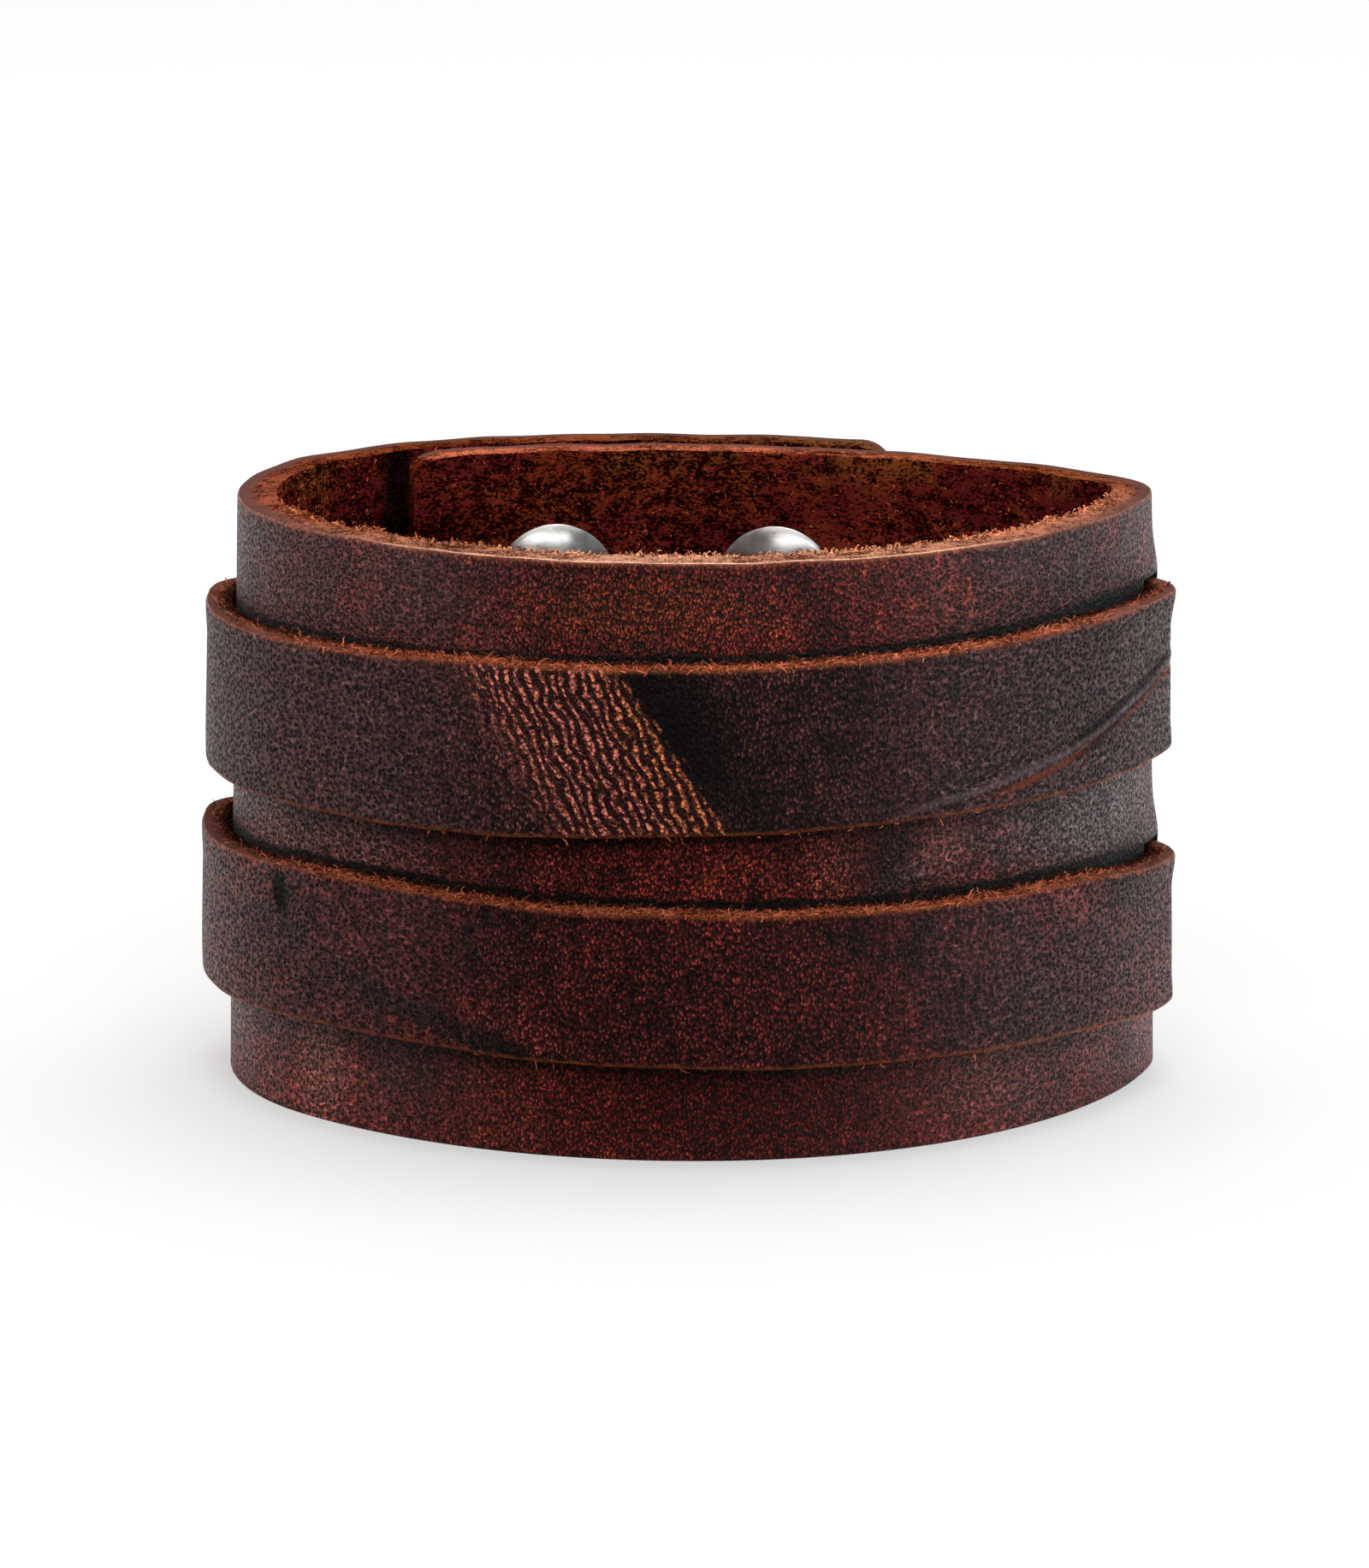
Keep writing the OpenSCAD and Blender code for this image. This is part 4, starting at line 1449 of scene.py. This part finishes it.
def rim_finish(name, table, cream, inner):
    """A cut edge. Cream is how clear the pale line beside the grain is; inner starts painted
    shade.
    """
    material, d, shader = new_material(name)
    place = flat_place(d)
    s, _, depth = d.parts(place)
    light = d.colours(s, table)
    # Painted shade: the rim turns nearly black at the inner end of the band.
    light = d.blend(d.ramp(s, BAND_RIGHT - 0.7, BAND_RIGHT - 0.3, 0.0, 0.9), light, BLACK)
    shade, light = d.times(light, (0.13, 0.07, 0.055)), d.times(light, (1.25, 1.2, 1.15))
    felt = d.use(bare, Place=place, Shade=shade, Light=light, Size=1.0)
    wobbled = d.maths("MULTIPLY_ADD", d.noise(place, 0.9, 3.0), 0.9, depth)
    burnished = d.ramp(d.maths("ABSOLUTE", s), 20.0, 46.0, 0.0, 0.88)
    burnished = d.maths("MULTIPLY", burnished, d.ramp(wobbled, 2.1, 1.2))
    line = d.ramp(wobbled, 1.0, 0.6)
    line = d.maths("MULTIPLY", line, d.ramp(d.maths("ABSOLUTE", s), 34.0, 16.0, 0.0, cream))
    colour = d.blend(line, felt["Colour"], CREAM)
    colour = d.blend(burnished, colour, BURNISHED)
    # Painted shade deeper than inner, where a strap's edge faces the band.
    colour = d.blend(d.ramp(wobbled, inner, inner + 0.7, 0.0, 0.88), colour, BLACK)
    rough = d.ramp(felt["Height"], 0.3, 0.9, 0.95, 0.75)
    finish(d, shader, colour, rough, felt["Height"], 0.00012, MATT)
    return material


def suede_finish(name, size, lift):
    """The flesh side, with a painted shadow where the inner end casts its shade."""
    material, d, shader = new_material(name)
    place = flat_place(d)
    z = d.parts(place)[1]
    patches = d.noise(place, 7.0, 4.0, 0.6)
    light = d.blend(d.ramp(patches, 0.42, 0.62), (0.088, 0.009, 0.0085), (0.130, 0.020, 0.0075))
    near_rim = d.ramp(d.maths("MULTIPLY_ADD", patches, 7.0, z), BAND_H, BAND_H + 4, 0.0, 0.6)
    near_rim = d.maths("MULTIPLY", near_rim, d.ramp(d.noise(place, 5.0, 3.0), 0.46, 0.62))
    light = d.blend(near_rim, light, (0.17, 0.055, 0.013))
    # Painted shadow of the inner end on the suede of the outer arm.
    dark = soft_patch(d, place, (FLAP_SHADE, BAND_H / 2), (1.7, 60.0), 0.0, 0.5, 0.3)
    light = d.blend(d.maths("MULTIPLY", dark, 0.93), light, BLACK)
    light = d.times(light, (lift,) * 3)
    shade, light = d.times(light, (0.10, 0.08, 0.12)), d.times(light, (1.9, 1.85, 1.8))
    lain = d.stretched(place, (0.8, 1.25, 1.0))
    felt = d.use(bare, Place=lain, Shade=shade, Light=light, Size=size)
    rough = d.ramp(felt["Height"], 0.3, 0.9, 1.0, 0.8)
    finish(d, shader, felt["Colour"], rough, felt["Height"], 0.00018, MATT)
    return material


def fibre_finish(name, table, gain, inner):
    """Loose fibres, with painted shade where they stand deeper than inner."""
    material, d, shader = new_material(name)
    place = flat_place(d)
    s, _, depth = d.parts(place)
    light = d.times(d.colours(s, table), (gain,) * 3)
    # Painted shade on fibres deeper than inner, next to the band.
    light = d.blend(d.ramp(depth, inner, inner + 0.6, 0.0, 0.8), light, BLACK)
    shade, light = d.times(light, (0.20, 0.14, 0.12)), d.times(light, (1.9, 1.9, 1.8))
    lot = d.noise(place, 0.09, 2.0)
    colour = d.blend(d.ramp(lot, 0.38, 0.62), shade, light)
    rough = d.ramp(lot, 0.3, 0.7, 0.7, 0.95)
    finish(d, shader, colour, rough, lot, 0.00002, MATT)
    return material


STRAP_TABLE = [
    (-50, (0.20, 0.065, 0.040)), (-20, (0.27, 0.070, 0.034)), (10, (0.33, 0.09, 0.045)),
    (50, (0.24, 0.075, 0.042)),
]
NAP_TABLE = [
    (-112, (0.20, 0.050, 0.016)), (0, (0.20, 0.045, 0.016)), (112, (0.18, 0.035, 0.018)),
]
SHADE_NOWHERE = 9.0
rim = rim_finish("cut rim", RIM_TABLE, 0.4, SHADE_NOWHERE)
strap_edge = rim_finish("strap edge", STRAP_TABLE, 0.0, 1.75)
suede = suede_finish("suede", 1.5, 0.56)
strap_fibre = fibre_finish("strap fibres", STRAP_TABLE, 0.95, 1.3)
for piece, looks in (
    (band, (band_grain, rim, suede)),
    (straps["upper"], (strap_grain["upper"], strap_edge, suede)),
    (straps["lower"], (strap_grain["lower"], strap_edge, suede)),
    (rim_fibres, (fibre_finish("rim fibres", RIM_FIBRE_TABLE, 0.85, SHADE_NOWHERE),)),
    (nap, (fibre_finish("nap", NAP_TABLE, 0.85, SHADE_NOWHERE),)),
    (straps["upper_fibres"], (strap_fibre,)),
    (straps["lower_fibres"], (strap_fibre,)),
):
    for look in looks:
        piece.data.materials.append(look)

# %% [markdown]
# ## Nickel
#
# The snaps are plated with nickel and handled every day. A clean metal would look like a
# mirror, so noise at two sizes smudges its roughness, and a very small bump keeps the
# highlights from being drawn with a ruler.

# %% Finish of the snaps
METAL_GLOSS = 0.5
nickel, d, shader = new_material("nickel")
place = d.add("ShaderNodeTexCoord", out="Object")
smudge = d.noise(place, 0.0022, 4.0, 0.6)
hair = d.noise(d.stretched(place, (1.0, 1.0, 6.0)), 0.0006, 3.0, 0.6)
colour = d.blend(d.ramp(smudge, 0.35, 0.65), (0.50, 0.49, 0.48), (0.68, 0.67, 0.66))
rough = d.maths("ADD", d.ramp(smudge, 0.35, 0.7, 0.17, 0.23), d.ramp(hair, 0.4, 0.7, 0.0, 0.03))
finish(d, shader, colour, rough, hair, 0.0000008, METAL_GLOSS)
shader.inputs["Metallic"].default_value = 1.0
for piece in snaps:
    piece.data.materials.append(nickel)

# %% [markdown]
# ## Floor and light
#
# The cuff stands on white, with a soft shadow. The ground has to stay white in the picture
# and yet show the shadow, so camera rays see a floor that also glows a little. All other rays
# see plain matt paper that is white behind the cuff and dark in front of it, because a white
# floor in front would lay a grey haze over the waxed leather. The studio is bright behind and
# dim in front for the same reason, which also puts the long pale sheen on the sides. A large
# soft light hangs above, a weak one stands in front, a low one makes the highlights on the
# snaps, and a fill that shows in no reflection lifts the front.

# %% Floor
BACK = (0.20, 0.980, 0.0)
DARK_FRONT, WHITE_BACK = 0.035, 0.80
SEEN_WHITE = 0.26
GLOW = 0.447
FAR_GLOW = 0.14
bm = bmesh.new()
bmesh.ops.create_grid(bm, x_segments=1, y_segments=1, size=3.0)
floor_mesh = bpy.data.meshes.new("floor")
bm.to_mesh(floor_mesh)
bm.free()
floor = bpy.data.objects.new("floor", floor_mesh)
bpy.context.scene.collection.objects.link(floor)
paper, d, shader = new_material("paper")
shader.inputs["Roughness"].default_value = 1.0
shader.inputs["Specular IOR Level"].default_value = MATT
seen = d.add("ShaderNodeLightPath", out="Is Camera Ray")
place = d.add("ShaderNodeTexCoord", out="Object")
side = d.vectors("DOT_PRODUCT", place, BACK, out="Value")
level = d.mix(seen, d.ramp(side, -0.036, -0.008, DARK_FRONT, WHITE_BACK), SEEN_WHITE)
tone = d.times(d.blend(d.noise(place, 0.05, 3.0), (0.99,) * 3, (1.0,) * 3),
               d.add("ShaderNodeCombineColor", {0: level, 1: level, 2: level}))
d.tree.links.new(tone, shader.inputs["Base Color"])
shader.inputs["Emission Color"].default_value = (1.0, 1.0, 1.0, 1.0)
# Painted light: camera rays see the floor glow, more from 5 to 10 cm away, so the shadow fades to
# white.
far = d.vectors("LENGTH", place, out="Value")
glow = d.ramp(far, 0.05, 0.10, GLOW, GLOW + FAR_GLOW)
d.tree.links.new(d.maths("MULTIPLY", seen, glow), shader.inputs["Emission Strength"])
floor.data.materials.append(paper)

# %% Studio
FRONT_LIGHT, BACK_LIGHT, TOP_LIGHT = 0.20, 1.8, 1.0
world = bpy.data.worlds.new("studio")
world.use_nodes = True
d = Desk(world.node_tree)
background = world.node_tree.nodes["Background"]
way = d.add("ShaderNodeTexCoord", out="Generated")
side = d.vectors("DOT_PRODUCT", way, BACK, out="Value")
above = d.ramp(d.parts(way)[2], 0.45, 0.92)
level = d.mix(above, d.ramp(side, -0.15, 0.25, FRONT_LIGHT, BACK_LIGHT), TOP_LIGHT)
seen = d.add("ShaderNodeLightPath", out="Is Camera Ray")
level = d.mix(seen, level, 1.0)
d.tree.links.new(level, background.inputs["Strength"])
warmth = d.blend(d.ramp(d.parts(way)[0], -0.6, 0.6), (1.0, 0.87, 0.84), (0.95, 0.98, 1.0))
d.tree.links.new(d.blend(seen, warmth, (1.0, 1.0, 1.0)), background.inputs["Color"])
bpy.context.scene.world = world
bpy.context.scene.view_settings.view_transform = "Standard"


def softbox(name, place, aim, size, watts):
    data = bpy.data.lights.new(name, "AREA")
    data.shape = "RECTANGLE"
    data.size, data.size_y = size
    data.energy = watts
    light = bpy.data.objects.new(name, data)
    light.location = place
    light.rotation_euler = (Vector(aim) - Vector(place)).to_track_quat("-Z", "Y").to_euler()
    bpy.context.scene.collection.objects.link(light)
    print(name, "gives", watts, "W")
    return light


softbox("light_above", (0.05, 0.10, 0.80), (0.0, 0.0, 0.02), (0.60, 0.60), watts=7.0)
softbox("light_front", (0.0, -0.55, 0.55), (0.0, 0.0, 0.03), (0.80, 0.30), watts=0.5)
softbox("light_low", (0.0, -0.60, 0.31), (0.0, 0.02, 0.037), (0.42, 0.07), watts=0.30)
fill = softbox("light_fill", (0.0, -0.50, 0.32), (0.0, 0.0, 0.03), (0.50, 0.30), watts=2.5)
fill.visible_glossy = False

# %% [markdown]
# ## Camera
#
# The camera stands about 60 cm in front and looks a little down, so the far wall shows through
# the ring. A long lens keeps the sides of the cuff nearly upright.

# %% Camera
LENS = 185.4
STANDS_AT = (0.000154, -0.59297, 0.1655)
LOOKS_DOWN = 13.56
camera_data = bpy.data.cameras.new("camera")
camera_data.lens = LENS
camera = bpy.data.objects.new("camera", camera_data)
camera.location = STANDS_AT
camera.rotation_euler = (math.radians(90 - LOOKS_DOWN), 0.0, 0.0)
bpy.context.scene.collection.objects.link(camera)
bpy.context.scene.camera = camera
print("camera at", STANDS_AT, "with a lens of", LENS, "mm")
